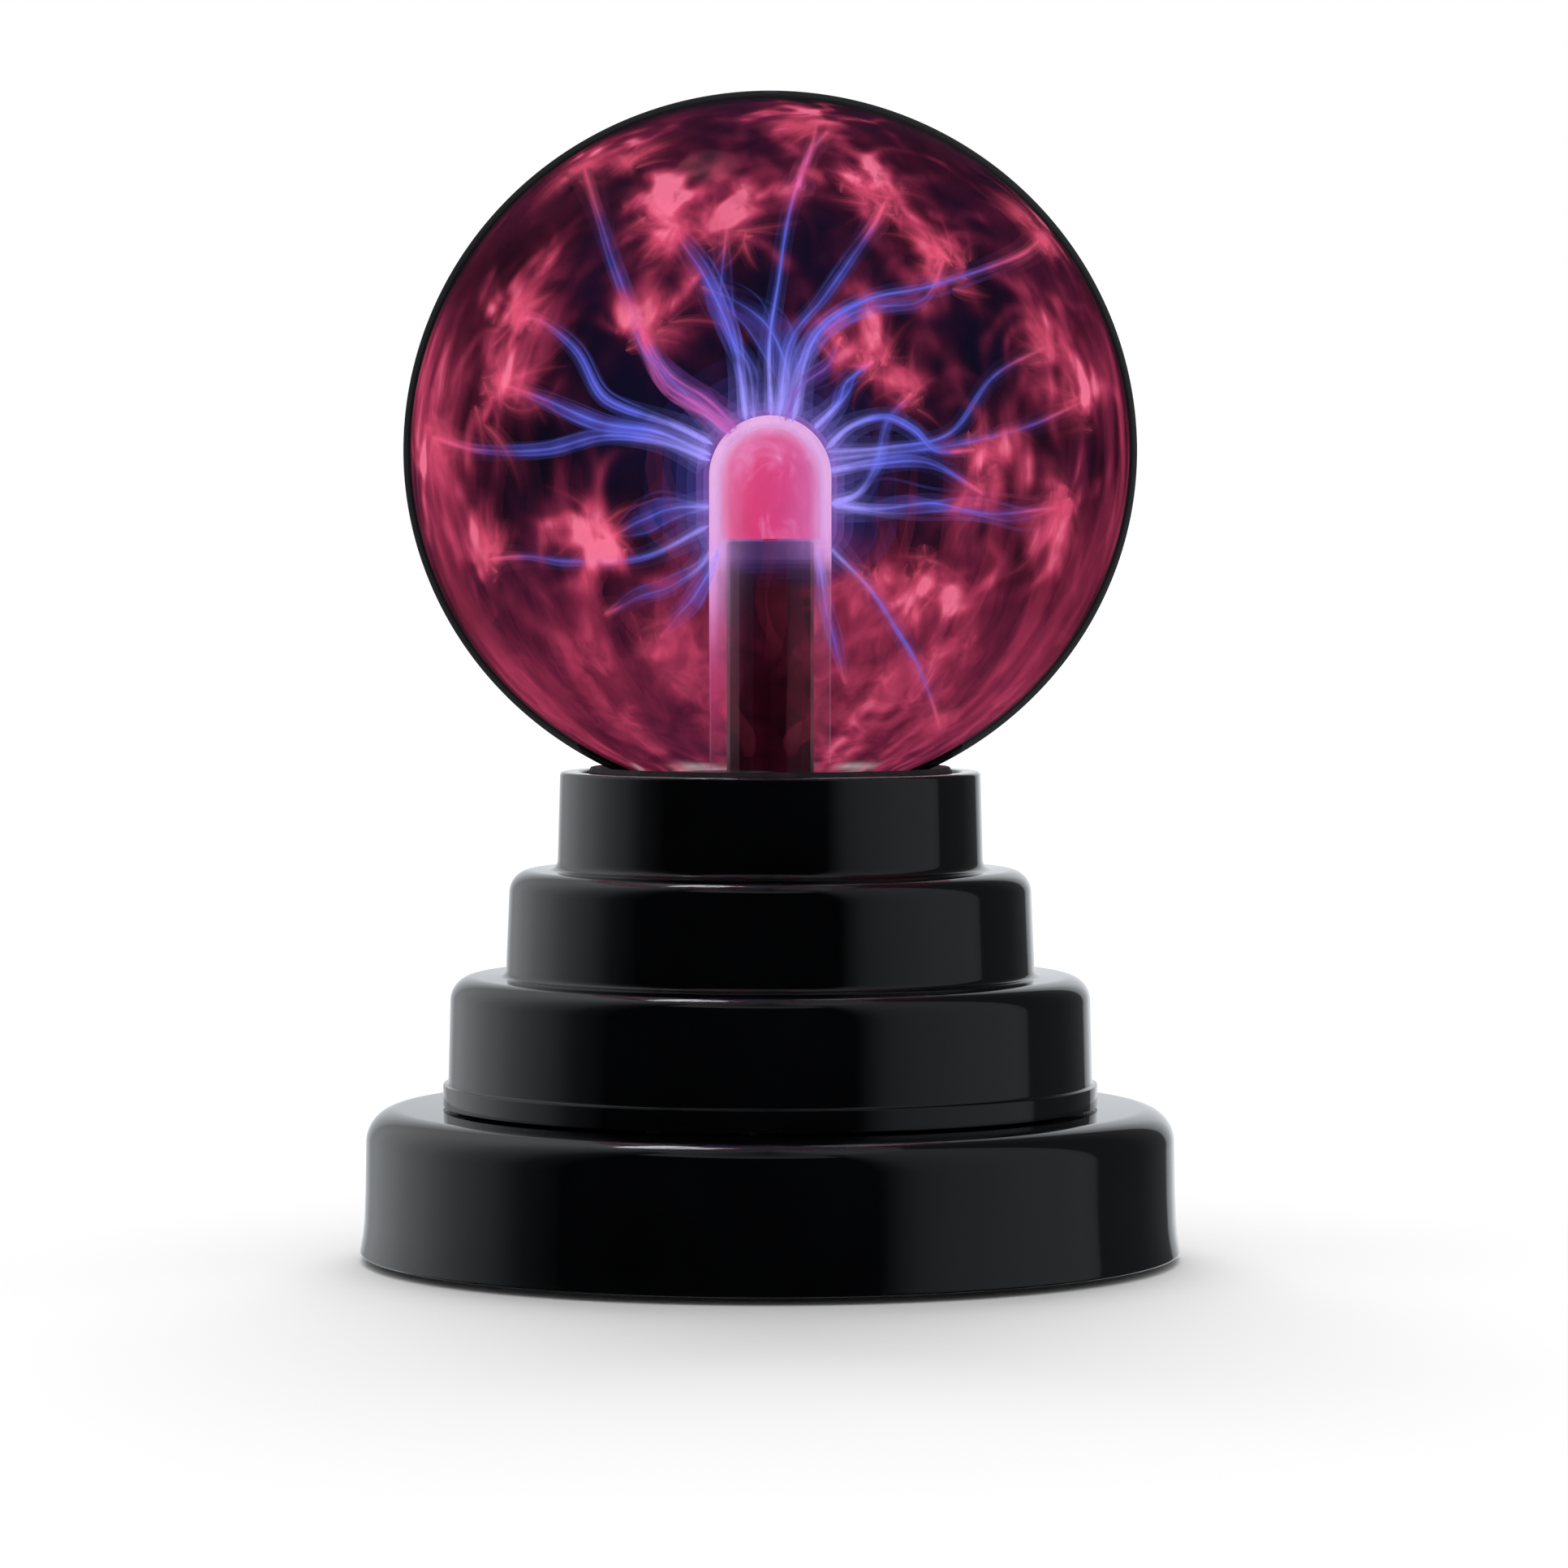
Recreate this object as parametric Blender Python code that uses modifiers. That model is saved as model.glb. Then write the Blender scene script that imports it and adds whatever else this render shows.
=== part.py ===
"""Plasma ball lamp on a stepped round base, made as the separate pieces it is assembled from.

Frame: +Z up, the front faces -Y. The origin is on the surface that the lamp stands on, under the
axis of the globe. The slide switch and the power inlet are at the back, on +Y.
"""
import math

import bmesh
import bpy
from mathutils import Matrix

MM = 0.001  # the sizes below are in millimetres, and the model is in metres
GAP = 0.3  # left between neighbouring pieces
WALL = 2.0  # moulded wall of the housings

# Facets round a turned piece
BIG_STEPS = 32
SLIM_STEPS = 16
SMALL_STEPS = 12
PIN_STEPS = 8

# Glass globe: its widest ring, the rise above it, the drop below it, and the neck
GLOBE_RADIUS = 40.0
GLOBE_CENTRE_Z = 88.3
GLOBE_RISE = 39.2
GLOBE_DROP = 38.5
GLOBE_WALL = 1.0
NECK_RADIUS = 13.0
NECK_BLEND_RADIUS = 16.5
NECK_BLEND_END_Z = 48.5
NECK_END_Z = 38.5

# Glass stem that stands inside the globe and carries the electrode
STEM_RADIUS = 6.6
STEM_WALL = 0.8
STEM_TOP_Z = 92.2
STEM_FLARE_Z = 47.0
ELECTRODE_BOTTOM_Z = 78.8
ELECTRODE_WALL = 0.5
SLEEVE_RADIUS = 4.75
SLEEVE_WALL = 0.85
SLEEVE_BOTTOM_Z = 36.0
EXHAUST_X = 9.0

# Upper housing: a collar and two steps, each (outer radius, top height, edge rounding)
COLLAR_RADIUS = 23.0
RIM_Z = 53.4
RIM_ROUND = 0.4
COLLAR_BORE = 20.9
MIDDLE_STEP = (28.55, 42.7, 2.5)
WIDE_STEP = (35.0, 31.1, 2.7)
FLANGE_RADIUS = 35.8
FLANGE_TOP_Z = 19.3

# Lower housing: the widest step, which holds the electronics
DRUM_RADIUS = 44.2
DRUM_TOP_Z = 16.7
DRUM_ROUND = 3.7
DRUM_FOOT_RADIUS = 44.9
DRUM_BORE = 27.5
SKIRT_Z = 0.8

# Bottom cover, feet and board
COVER_THICK = 2.0
COVER_TOP_Z = SKIRT_Z + COVER_THICK
FOOT_RADIUS = 4.0
FOOT_CIRCLE = 33.0
FOOT_SINK = 0.8
BOARD_BOTTOM_Z = 3.9
BOARD_THICK = 1.6
BOARD_TOP_Z = BOARD_BOTTOM_Z + BOARD_THICK
PART_SEAT_Z = BOARD_TOP_Z + GAP

# Screw places: (circle radius, angles in degrees), or board positions
COVER_SCREWS = (37.3, (45, 135, 225, 315))
HOUSING_SCREWS = (30.0, (26, 146, 266))
CRADLE_SCREWS = (22.8, (90, 210, 330))
BOARD_SCREWS = ((0.0, -22.5), (-16.5, 17.0), (16.5, 27.0))

# Where the board's parts stand, as (x, y)
TRANSFORMER = (-6.0, -8.0)
MAIN_CAPACITOR = (12.0, 6.0)
FILM_CAPACITOR = (12.0, 18.0)
OSCILLATOR_CHIP = (-8.0, 12.0)
RESISTOR_ROWS = (19.5, 22.5, 25.5)
HV_PAD = (5.0, 4.0)

# Transformer core and its windows
CORE_HALF_X = 10.7
CORE_LEG = 2.5
CORE_WINDOW_X = 8.2
CORE_WINDOW_Z = 12.0

# Heat sink, with the screw through the transistor's tab at (y, z)
HEAT_SINK_X = (12.5, 14.0)
HEAT_SINK_Y = (-18.0, -4.0)
HEAT_SINK_TOP = 22.0
FIN_REACH_X = 17.5
FIN_THICK = 1.0
TAB_SCREW = (-11.0, 19.3)
LEG_PITCH = 2.54

# Slide switch and power inlet
SWITCH_Z = 9.2
SWITCH_TRAVEL = 3.0
KNOB_HALF = (2.3, 1.7)
KNOB_TIP_Y = 44.15
POCKET_FLOOR_Y = 42.4
INLET_ANGLE = 26.0
INLET_Z = 9.2
INLET_BORE = 3.1

# Colour, roughness and metallic value of each finish
FINISHES = {
    "dark_glass": ((0.05, 0.02, 0.06), 0.03, 0.0),
    "stem_glass": ((0.75, 0.35, 0.55), 0.05, 0.0),
    "electrode": ((0.80, 0.25, 0.45), 0.30, 0.6),
    "black_tube": ((0.015, 0.010, 0.020), 0.35, 0.0),
    "gloss_black": ((0.010, 0.011, 0.014), 0.10, 0.0),
    "matte_black": ((0.025, 0.025, 0.028), 0.55, 0.0),
    "silicone": ((0.80, 0.78, 0.78), 0.45, 0.0),
    "rubber": ((0.030, 0.030, 0.032), 0.80, 0.0),
    "screw_steel": ((0.55, 0.56, 0.58), 0.30, 1.0),
    "aluminium": ((0.75, 0.76, 0.78), 0.35, 1.0),
    "board_green": ((0.03, 0.20, 0.08), 0.40, 0.0),
    "ferrite": ((0.06, 0.06, 0.065), 0.60, 0.0),
    "copper": ((0.70, 0.30, 0.12), 0.30, 1.0),
    "former_white": ((0.80, 0.78, 0.70), 0.50, 0.0),
    "lead_red": ((0.55, 0.03, 0.03), 0.45, 0.0),
    "can_blue": ((0.05, 0.08, 0.25), 0.35, 0.0),
    "film_orange": ((0.75, 0.25, 0.05), 0.35, 0.0),
    "resistor_tan": ((0.72, 0.55, 0.35), 0.50, 0.0),
    "brass_pin": ((0.80, 0.62, 0.30), 0.25, 1.0),
}


def clear_scene():
    for obj in list(bpy.data.objects):
        bpy.data.objects.remove(obj, do_unlink=True)


def make_collection(name, hidden):
    collection = bpy.data.collections.new(name)
    collection.hide_render = hidden
    bpy.context.scene.collection.children.link(collection)
    return collection


def make_finish(name):
    colour, roughness, metallic = FINISHES[name]
    material = bpy.data.materials.new(name)
    material.use_nodes = True
    shader = material.node_tree.nodes["Principled BSDF"]
    shader.inputs["Base Color"].default_value = (*colour, 1.0)
    shader.inputs["Roughness"].default_value = roughness
    shader.inputs["Metallic"].default_value = metallic
    material.diffuse_color = (*colour, 1.0)
    return material


clear_scene()
PIECES = make_collection("plasma_ball", hidden=False)
TOOLS = make_collection("plasma_ball_tools", hidden=True)
LAMP = bpy.data.objects.new("plasma_ball_frame", None)
PIECES.objects.link(LAMP)
MATERIALS = {name: make_finish(name) for name in FINISHES}


def place(name, data, finish, at=(0, 0, 0), turn=0.0):
    """Links a piece, or a tool where finish is None, at a point in mm and a turn about Z in degrees."""
    obj = bpy.data.objects.new(name, data)
    obj.location = [value * MM for value in at]
    obj.rotation_euler = (0, 0, math.radians(turn))
    if finish is None:
        TOOLS.objects.link(obj)
        obj.hide_render = True
        obj.display_type = "WIRE"
    else:
        PIECES.objects.link(obj)
        obj.parent = LAMP
        data.materials.append(MATERIALS[finish])
    return obj


def smooth_mesh(name, shape):
    mesh = bpy.data.meshes.new(name)
    shape.to_mesh(mesh)
    shape.free()
    mesh.shade_smooth()
    mesh.set_sharp_from_angle(angle=math.radians(35))
    return mesh


def box(name, x, y, z, finish=None, edge=0.0, turn=0.0):
    """A box between the limits x, y and z, each a (low, high) pair, with its edges rounded by edge."""
    size = [high - low for low, high in (x, y, z)]
    middle = [(high + low) / 2 for low, high in (x, y, z)]
    shape = bmesh.new()
    scale = Matrix.Diagonal([side * MM for side in size] + [1.0])
    bmesh.ops.create_cube(shape, size=1.0, matrix=Matrix.Translation([v * MM for v in middle]) @ scale)
    obj = place(name, smooth_mesh(name, shape), finish, turn=turn)
    if edge:
        bevel = obj.modifiers.new("Edges", "BEVEL")
        bevel.width = edge * MM
        bevel.segments = 1
    return obj


def rod(name, radius, low, high, at, finish=None, along="Z", steps=PIN_STEPS, turn=0.0):
    """A round bar between low and high along Z or Y, through the point at in the other two directions."""
    shape = bmesh.new()
    bmesh.ops.create_cone(
        shape,
        cap_ends=True,
        segments=steps,
        radius1=radius * MM,
        radius2=radius * MM,
        depth=(high - low) * MM,
    )
    middle = (low + high) / 2
    if along == "Y":
        shape.transform(Matrix.Rotation(math.radians(-90), 4, "X"))
        centre = (at[0], middle, at[1])
    elif along == "X":
        shape.transform(Matrix.Rotation(math.radians(90), 4, "Y"))
        centre = (middle, at[0], at[1])
    else:
        centre = (at[0], at[1], middle)
    shape.transform(Matrix.Translation([value * MM for value in centre]))
    return place(name, smooth_mesh(name, shape), finish, turn=turn)


def turned(name, outline, finish=None, steps=BIG_STEPS, at=(0, 0, 0)):
    """Turns an outline of (radius, height) points about Z. One that is off the axis closes on itself."""
    points = [(radius * MM, 0.0, height * MM) for radius, height in outline]
    edges = [(i, i + 1) for i in range(len(points) - 1)]
    if outline[0][0] > 0:
        edges.append((len(points) - 1, 0))
    mesh = bpy.data.meshes.new(name)
    mesh.from_pydata(points, edges, [])
    obj = place(name, mesh, finish, at)
    screw = obj.modifiers.new("Turn", "SCREW")
    screw.steps = steps
    screw.render_steps = steps
    screw.use_smooth_shade = True
    screw.use_merge_vertices = True
    screw.merge_threshold = 0.00001
    return obj


def arc(centre, radius, start, end, steps):
    """Points on a round edge in the outline's plane, from angle start to end in degrees."""
    angles = [math.radians(start + (end - start) * i / steps) for i in range(steps + 1)]
    return [(centre[0] + radius * math.cos(a), centre[1] + radius * math.sin(a)) for a in angles]


def boolean(obj, other, operation):
    modifier = obj.modifiers.new(f"{operation} {other.name}", "BOOLEAN")
    modifier.operation = operation
    modifier.solver = "EXACT"
    modifier.object = other


def cut(obj, *tools):
    for tool in tools:
        boolean(obj, tool, "DIFFERENCE")


def join(obj, *tools):
    for tool in tools:
        boolean(obj, tool, "UNION")


def on_circle(places):
    radius, angles = places
    return [(radius * math.cos(math.radians(a)), radius * math.sin(math.radians(a))) for a in angles]


def wire(name, route, radius, finish=None):
    """A round wire along straight or smooth runs between the route's points."""
    curve = bpy.data.curves.new(name, "CURVE")
    curve.dimensions = "3D"
    curve.bevel_depth = radius * MM
    curve.bevel_resolution = 2
    curve.use_fill_caps = True
    spline = curve.splines.new("POLY")
    spline.points.add(len(route) - 1)
    for point, spot in zip(spline.points, route):
        point.co = (*[value * MM for value in spot], 1.0)
    return place(name, curve, finish)


def wire_as_mesh(name, route, radius, finish=None):
    """The same wire as a closed mesh, which can be joined to other shapes."""
    obj = wire("route of " + name, route, radius)
    graph = bpy.context.evaluated_depsgraph_get()
    mesh = bpy.data.meshes.new_from_object(obj.evaluated_get(graph))
    bpy.data.objects.remove(obj, do_unlink=True)
    shape = bmesh.new()
    shape.from_mesh(mesh)
    bmesh.ops.remove_doubles(shape, verts=shape.verts, dist=0.000001)
    bpy.data.meshes.remove(mesh)
    return place(name, smooth_mesh(name, shape), finish)


def smooth_route(points, per_span):
    """A Catmull-Rom curve through the points, as a list of closely spaced points."""
    ends = [points[0], *points, points[-1]]
    route = []
    for a, b, c, d in zip(ends, ends[1:], ends[2:], ends[3:]):
        for i in range(per_span):
            t = i / per_span
            route.append(
                tuple(
                    0.5 * (2 * q + (r - p) * t + (2 * p - 5 * q + 4 * r - s) * t**2
                           + (3 * q - p - 3 * r + s) * t**3)
                    for p, q, r, s in zip(a, b, c, d)
                )
            )
    return [*route, points[-1]]


# Globe, stem and electrode


def globe_side(inset, steps):
    """Outline of the globe and its neck, from the pole down, moved inwards by inset."""
    wide = GLOBE_RADIUS - inset
    blend = NECK_BLEND_RADIUS - inset
    neck = NECK_RADIUS - inset
    last = -math.acos(blend / wide)
    side = []
    for i in range(steps + 1):
        angle = math.pi / 2 + (last - math.pi / 2) * i / steps
        height = (GLOBE_RISE if angle > 0 else GLOBE_DROP) - inset
        side.append((wide * math.cos(angle), GLOBE_CENTRE_Z + height * math.sin(angle)))
    side[0] = (0.0, side[0][1])
    start_z = side[-1][1]
    drop = GLOBE_DROP - inset
    slope = drop * blend / (wide * wide * math.sqrt(1 - (blend / wide) ** 2))
    bend_z = start_z - slope * (blend - neck)
    for t in (0.33, 0.67, 1.0):
        radius = (1 - t) ** 2 * blend + (1 - (1 - t) ** 2) * neck
        height = (1 - t) ** 2 * start_z + 2 * t * (1 - t) * bend_z + t**2 * NECK_BLEND_END_Z
        side.append((radius, height))
    return [*side, (neck, NECK_END_Z)]


def make_glass_globe():
    outside = globe_side(0.0, 13)
    inside = globe_side(GLOBE_WALL, 9)
    turned("glass_globe", [*outside, *reversed(inside)], "dark_glass")


def dome(radius, top_z, steps=4):
    """A round end from the axis down to its full radius."""
    points = arc((0.0, top_z - radius), radius, 90, 0, steps)
    points[0] = (0.0, top_z)
    return points


def make_stem_glass():
    inner = STEM_RADIUS - STEM_WALL
    lip = NECK_RADIUS - GLOBE_WALL - GAP
    outside = [
        *dome(STEM_RADIUS, STEM_TOP_Z),
        (STEM_RADIUS, STEM_FLARE_Z),
        (6.9, 44.5),
        (8.2, 42.3),
        (10.2, 41.2),
        (lip, 40.8),
    ]
    inside = [
        (lip, 39.8),
        (10.0, 40.1),
        (7.7, 41.2),
        (6.2, 43.4),
        (inner, STEM_FLARE_Z),
        *reversed(dome(inner, STEM_TOP_Z - STEM_WALL)),
    ]
    turned("stem_glass", outside + inside, "stem_glass", SLIM_STEPS)


def make_exhaust_tip():
    outline = [(0.0, 39.5), (1.4, 39.5), (1.4, 35.6), (0.9, 34.4), (0.35, 33.4), (0.0, 33.2)]
    turned("exhaust_tip", outline, "stem_glass", SMALL_STEPS, at=(EXHAUST_X, 0, 0))


def make_electrode_dome():
    outer = STEM_RADIUS - STEM_WALL - GAP - 0.1
    inner = outer - ELECTRODE_WALL
    top = STEM_TOP_Z - STEM_WALL - GAP - 0.1
    outline = [
        *dome(outer, top),
        (outer, ELECTRODE_BOTTOM_Z),
        (inner, ELECTRODE_BOTTOM_Z),
        *reversed(dome(inner, top - ELECTRODE_WALL)),
    ]
    turned("electrode_dome", outline, "electrode", SLIM_STEPS)


def make_electrode_sleeve():
    top = ELECTRODE_BOTTOM_Z - GAP
    inner = SLEEVE_RADIUS - SLEEVE_WALL
    outline = [
        (inner, top),
        (SLEEVE_RADIUS - 0.3, top),
        (SLEEVE_RADIUS, top - 0.3),
        (SLEEVE_RADIUS, SLEEVE_BOTTOM_Z),
        (inner, SLEEVE_BOTTOM_Z),
    ]
    turned("electrode_sleeve", outline, "black_tube", SLIM_STEPS)


def make_hv_lead():
    """High-voltage lead from inside the electrode, down the sleeve, to its pad on the board."""
    bends = [(0, 0, 40), (0.3, 0.2, 31), (2.4, 1.8, 23), (4.4, 3.5, 15), (*HV_PAD, 9)]
    route = [(0, 0, 84), (0, 0, 60), *smooth_route(bends, 3), (*HV_PAD, PART_SEAT_Z)]
    wire("hv_lead", route, 0.8, "lead_red")


def make_neck_seal():
    """Silicone bead that holds the neck in the cradle."""
    inner = NECK_RADIUS + GAP
    outline = [(inner, 48.2), (14.2, 48.2), (15.0, 47.4), (15.0, 44.0), (inner, 44.0)]
    turned("neck_seal", outline, "silicone")


def make_seat_pad():
    """Soft ring under the globe, with its top face parallel to the glass."""
    outline = [(16.4, 52.4), (19.6, 53.9), (19.9, 53.4), (19.9, 50.4), (16.4, 50.4)]
    turned("seat_pad", outline, "rubber")


def make_globe_cradle():
    bore = 15.3
    tube = 20.0
    top = 50.1
    outline = [
        (bore, top),
        (tube, top),
        (tube, 35.2),
        (26.2, 35.2),
        (26.2, 33.0),
        (bore, 33.0),
    ]
    cradle = turned("globe_cradle", outline, "matte_black")
    for i, spot in enumerate(on_circle(CRADLE_SCREWS)):
        cut(cradle, rod(f"cradle hole {i}", 1.2, 32.0, 36.0, spot))


# Housings


def step_edge(step, inset=0.0, steps=3):
    """The rounded top edge of a step, from its flat top out to its wall."""
    radius, top, rounding = step
    centre = (radius - rounding, top - rounding)
    return arc(centre, rounding - inset, 90, 0, steps)


def upper_outline():
    middle_r, middle_z, middle_round = MIDDLE_STEP
    wide_r, wide_z, wide_round = WIDE_STEP
    bottom = DRUM_TOP_Z + GAP
    outside = [
        (COLLAR_BORE, RIM_Z),
        (COLLAR_RADIUS - RIM_ROUND, RIM_Z),
        (COLLAR_RADIUS, RIM_Z - RIM_ROUND),
        (COLLAR_RADIUS + 0.1, 46.5),
        (COLLAR_RADIUS + 0.3, middle_z + 1.3),
        (COLLAR_RADIUS + 0.7, middle_z + 0.4),
        (COLLAR_RADIUS + 1.3, middle_z),
        *step_edge(MIDDLE_STEP),
        (middle_r + 0.2, middle_z - 8.2),
        (middle_r + 0.4, wide_z + 1.2),
        (middle_r + 0.7, wide_z + 0.3),
        (middle_r + 1.1, wide_z),
        *step_edge(WIDE_STEP),
        (wide_r + 0.25, FLANGE_TOP_Z + 0.2),
        (FLANGE_RADIUS, FLANGE_TOP_Z),
        (FLANGE_RADIUS + 0.05, bottom),
    ]
    inside = [
        (wide_r - WALL + 0.2, bottom),
        (wide_r - WALL, wide_z - wide_round),
        (wide_r - wide_round, wide_z - WALL),
        (middle_r - WALL, wide_z - WALL),
        (middle_r - WALL, middle_z - middle_round),
        (middle_r - middle_round, middle_z - WALL),
        (COLLAR_BORE, middle_z - WALL),
    ]
    return outside + inside


def make_upper_housing():
    housing = turned("upper_housing", upper_outline(), "gloss_black")
    cradle_roof = MIDDLE_STEP[1] - WALL
    for i, spot in enumerate(on_circle(CRADLE_SCREWS)):
        join(housing, rod(f"cradle boss {i}", 2.3, 35.5, cradle_roof + 1.0, spot, steps=SMALL_STEPS))
        cut(housing, rod(f"cradle boss hole {i}", 1.0, 35.0, cradle_roof - 0.5, spot))
    roof = WIDE_STEP[1] - WALL
    for i, spot in enumerate(on_circle(HOUSING_SCREWS)):
        foot = DRUM_TOP_Z + GAP
        join(housing, rod(f"housing boss {i}", 2.2, foot, roof + 1.0, spot, steps=SMALL_STEPS))
        cut(housing, rod(f"housing boss hole {i}", 1.1, foot - 1.0, foot + 7.5, spot))


def lower_outline():
    drum = (DRUM_RADIUS, DRUM_TOP_Z, DRUM_ROUND)
    return [
        (DRUM_BORE, DRUM_TOP_Z),
        *step_edge(drum, steps=4),
        (DRUM_RADIUS + 0.1, 6.0),
        (DRUM_RADIUS + 0.35, 3.0),
        (DRUM_FOOT_RADIUS, SKIRT_Z + 0.7),
        (DRUM_FOOT_RADIUS - 0.2, SKIRT_Z),
        (DRUM_RADIUS - WALL + 0.25, SKIRT_Z),
        *reversed(step_edge(drum, inset=WALL, steps=2)),
        (DRUM_BORE, DRUM_TOP_Z - WALL),
    ]


def make_lower_housing():
    housing = turned("lower_housing", lower_outline(), "gloss_black")
    roof = DRUM_TOP_Z - WALL
    for i, spot in enumerate(on_circle(COVER_SCREWS)):
        low = COVER_TOP_Z + GAP
        join(housing, rod(f"cover boss {i}", 2.9, low, roof + 1.0, spot, steps=SMALL_STEPS))
        cut(housing, rod(f"cover boss hole {i}", 1.4, low - 1.0, 11.0, spot))
    for i, spot in enumerate(on_circle(HOUSING_SCREWS)):
        cut(housing, rod(f"drum hole {i}", 1.3, roof - 1.0, DRUM_TOP_Z + 1.0, spot))
    reach = SWITCH_TRAVEL / 2 + KNOB_HALF[0] + 0.4
    high = KNOB_HALF[1] + 0.4
    join(housing, box("switch block", (-7.6, 7.6), (40.0, 42.9), (3.4, roof + 0.5)))
    cut(
        housing,
        box("switch pocket", (-6.2, 6.2), (POCKET_FLOOR_Y, 46.0), (5.4, 13.0)),
        box("switch window", (-reach, reach), (39.0, 46.0), (SWITCH_Z - high, SWITCH_Z + high)),
        rod("inlet hole", 4.3, 39.5, 46.0, (0, INLET_Z), along="Y", steps=SLIM_STEPS, turn=INLET_ANGLE),
    )


def make_bottom_cover():
    edge = DRUM_RADIUS - WALL - GAP
    outline = [
        (0.0, COVER_TOP_Z),
        (edge, COVER_TOP_Z),
        (edge, SKIRT_Z + 0.3),
        (edge - 0.3, SKIRT_Z),
        (0.0, SKIRT_Z),
    ]
    cover = turned("bottom_cover", outline, "matte_black")
    for i, (x, y) in enumerate(BOARD_SCREWS):
        join(cover, rod(f"standoff {i}", 2.4, 2.0, BOARD_BOTTOM_Z - GAP, (x, y), steps=SMALL_STEPS))
        cut(cover, rod(f"standoff hole {i}", 0.95, 1.8, 6.0, (x, y)))
    for i, spot in enumerate(on_circle(COVER_SCREWS)):
        cut(cover, rod(f"cover hole {i}", 1.5, 0.0, 4.0, spot))
        cut(cover, rod(f"cover sink {i}", 2.9, 0.0, 1.8, spot, steps=SMALL_STEPS))
    for i, spot in enumerate(on_circle((FOOT_CIRCLE, (0, 90, 180, 270)))):
        recess = SKIRT_Z + FOOT_SINK
        cut(cover, rod(f"foot recess {i}", FOOT_RADIUS + GAP, 0.0, recess, spot, steps=SLIM_STEPS))
    for x, half in ((-9, 7), (-3, 9), (3, 9), (9, 7)):
        cut(cover, box(f"vent {x}", (x - 1, x + 1), (-half, half), (0, 4)))


def make_feet():
    top = SKIRT_Z + FOOT_SINK - GAP
    outline = [
        (0.0, top),
        (FOOT_RADIUS, top),
        (FOOT_RADIUS, 0.4),
        (FOOT_RADIUS - 0.4, 0.0),
        (0.0, 0.0),
    ]
    for i, (x, y) in enumerate(on_circle((FOOT_CIRCLE, (0, 90, 180, 270)))):
        turned(f"foot_{i + 1}", outline, "rubber", SLIM_STEPS, at=(x, y, 0))


def screw(name, spot, head, shaft, head_z, shaft_top):
    """A screw driven upwards. head is (radius, thickness), shaft its radius, head_z the head's underside."""
    radius, thick = head
    outline = [
        (0.0, shaft_top),
        (shaft, shaft_top - 0.6),
        (shaft, head_z),
        (radius, head_z),
        (radius, head_z - thick + 0.3),
        (radius - 0.3, head_z - thick),
        (0.0, head_z - thick),
    ]
    turned(name, outline, "screw_steel", PIN_STEPS, at=(*spot, 0))


def make_screws():
    for i, spot in enumerate(on_circle(COVER_SCREWS)):
        screw(f"cover_screw_{i + 1}", spot, (2.5, 0.6), 1.1, 1.5, 10.0)
    for i, spot in enumerate(on_circle(HOUSING_SCREWS)):
        head_z = DRUM_TOP_Z - WALL - GAP
        screw(f"housing_screw_{i + 1}", spot, (2.2, 1.3), 0.8, head_z, head_z + 9.0)
    for i, spot in enumerate(on_circle(CRADLE_SCREWS)):
        screw(f"cradle_screw_{i + 1}", spot, (2.0, 1.3), 0.7, 32.7, 39.6)
    head_z = PART_SEAT_Z
    for i, (x, y) in enumerate(BOARD_SCREWS):
        outline = [
            (0.0, head_z + 1.4),
            (1.7, head_z + 1.4),
            (2.0, head_z + 1.1),
            (2.0, head_z),
            (0.65, head_z),
            (0.65, 2.4),
            (0.0, 2.1),
        ]
        turned(f"board_screw_{i + 1}", outline, "screw_steel", PIN_STEPS, at=(x, y, 0))


# Board and what is on it


def make_circuit_board():
    half_x, front_y, back_r = 20.0, -26.0, 38.5
    turn = math.asin(half_x / back_r)
    sweep = [turn - 2 * turn * i / 8 for i in range(9)]
    corners = [(-half_x, front_y), (half_x, front_y)]
    corners += [(back_r * math.sin(a), back_r * math.cos(a)) for a in sweep]
    curve = bpy.data.curves.new("circuit_board", "CURVE")
    curve.dimensions = "2D"
    curve.fill_mode = "BOTH"
    curve.extrude = BOARD_THICK / 2 * MM
    spline = curve.splines.new("POLY")
    spline.points.add(len(corners) - 1)
    for point, (x, y) in zip(spline.points, corners):
        point.co = (x * MM, y * MM, 0, 1)
    spline.use_cyclic_u = True
    flat = place("board outline", curve, None)
    graph = bpy.context.evaluated_depsgraph_get()
    mesh = bpy.data.meshes.new_from_object(flat.evaluated_get(graph))
    bpy.data.objects.remove(flat, do_unlink=True)
    shape = bmesh.new()
    shape.from_mesh(mesh)
    bmesh.ops.remove_doubles(shape, verts=shape.verts, dist=0.000001)
    bpy.data.meshes.remove(mesh)
    middle = BOARD_BOTTOM_Z + BOARD_THICK / 2
    board = place("circuit_board", smooth_mesh("circuit_board", shape), "board_green", (0, 0, middle))
    for i, spot in enumerate(BOARD_SCREWS):
        cut(board, rod(f"board hole {i}", 1.1, 3.0, 7.0, spot))


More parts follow.
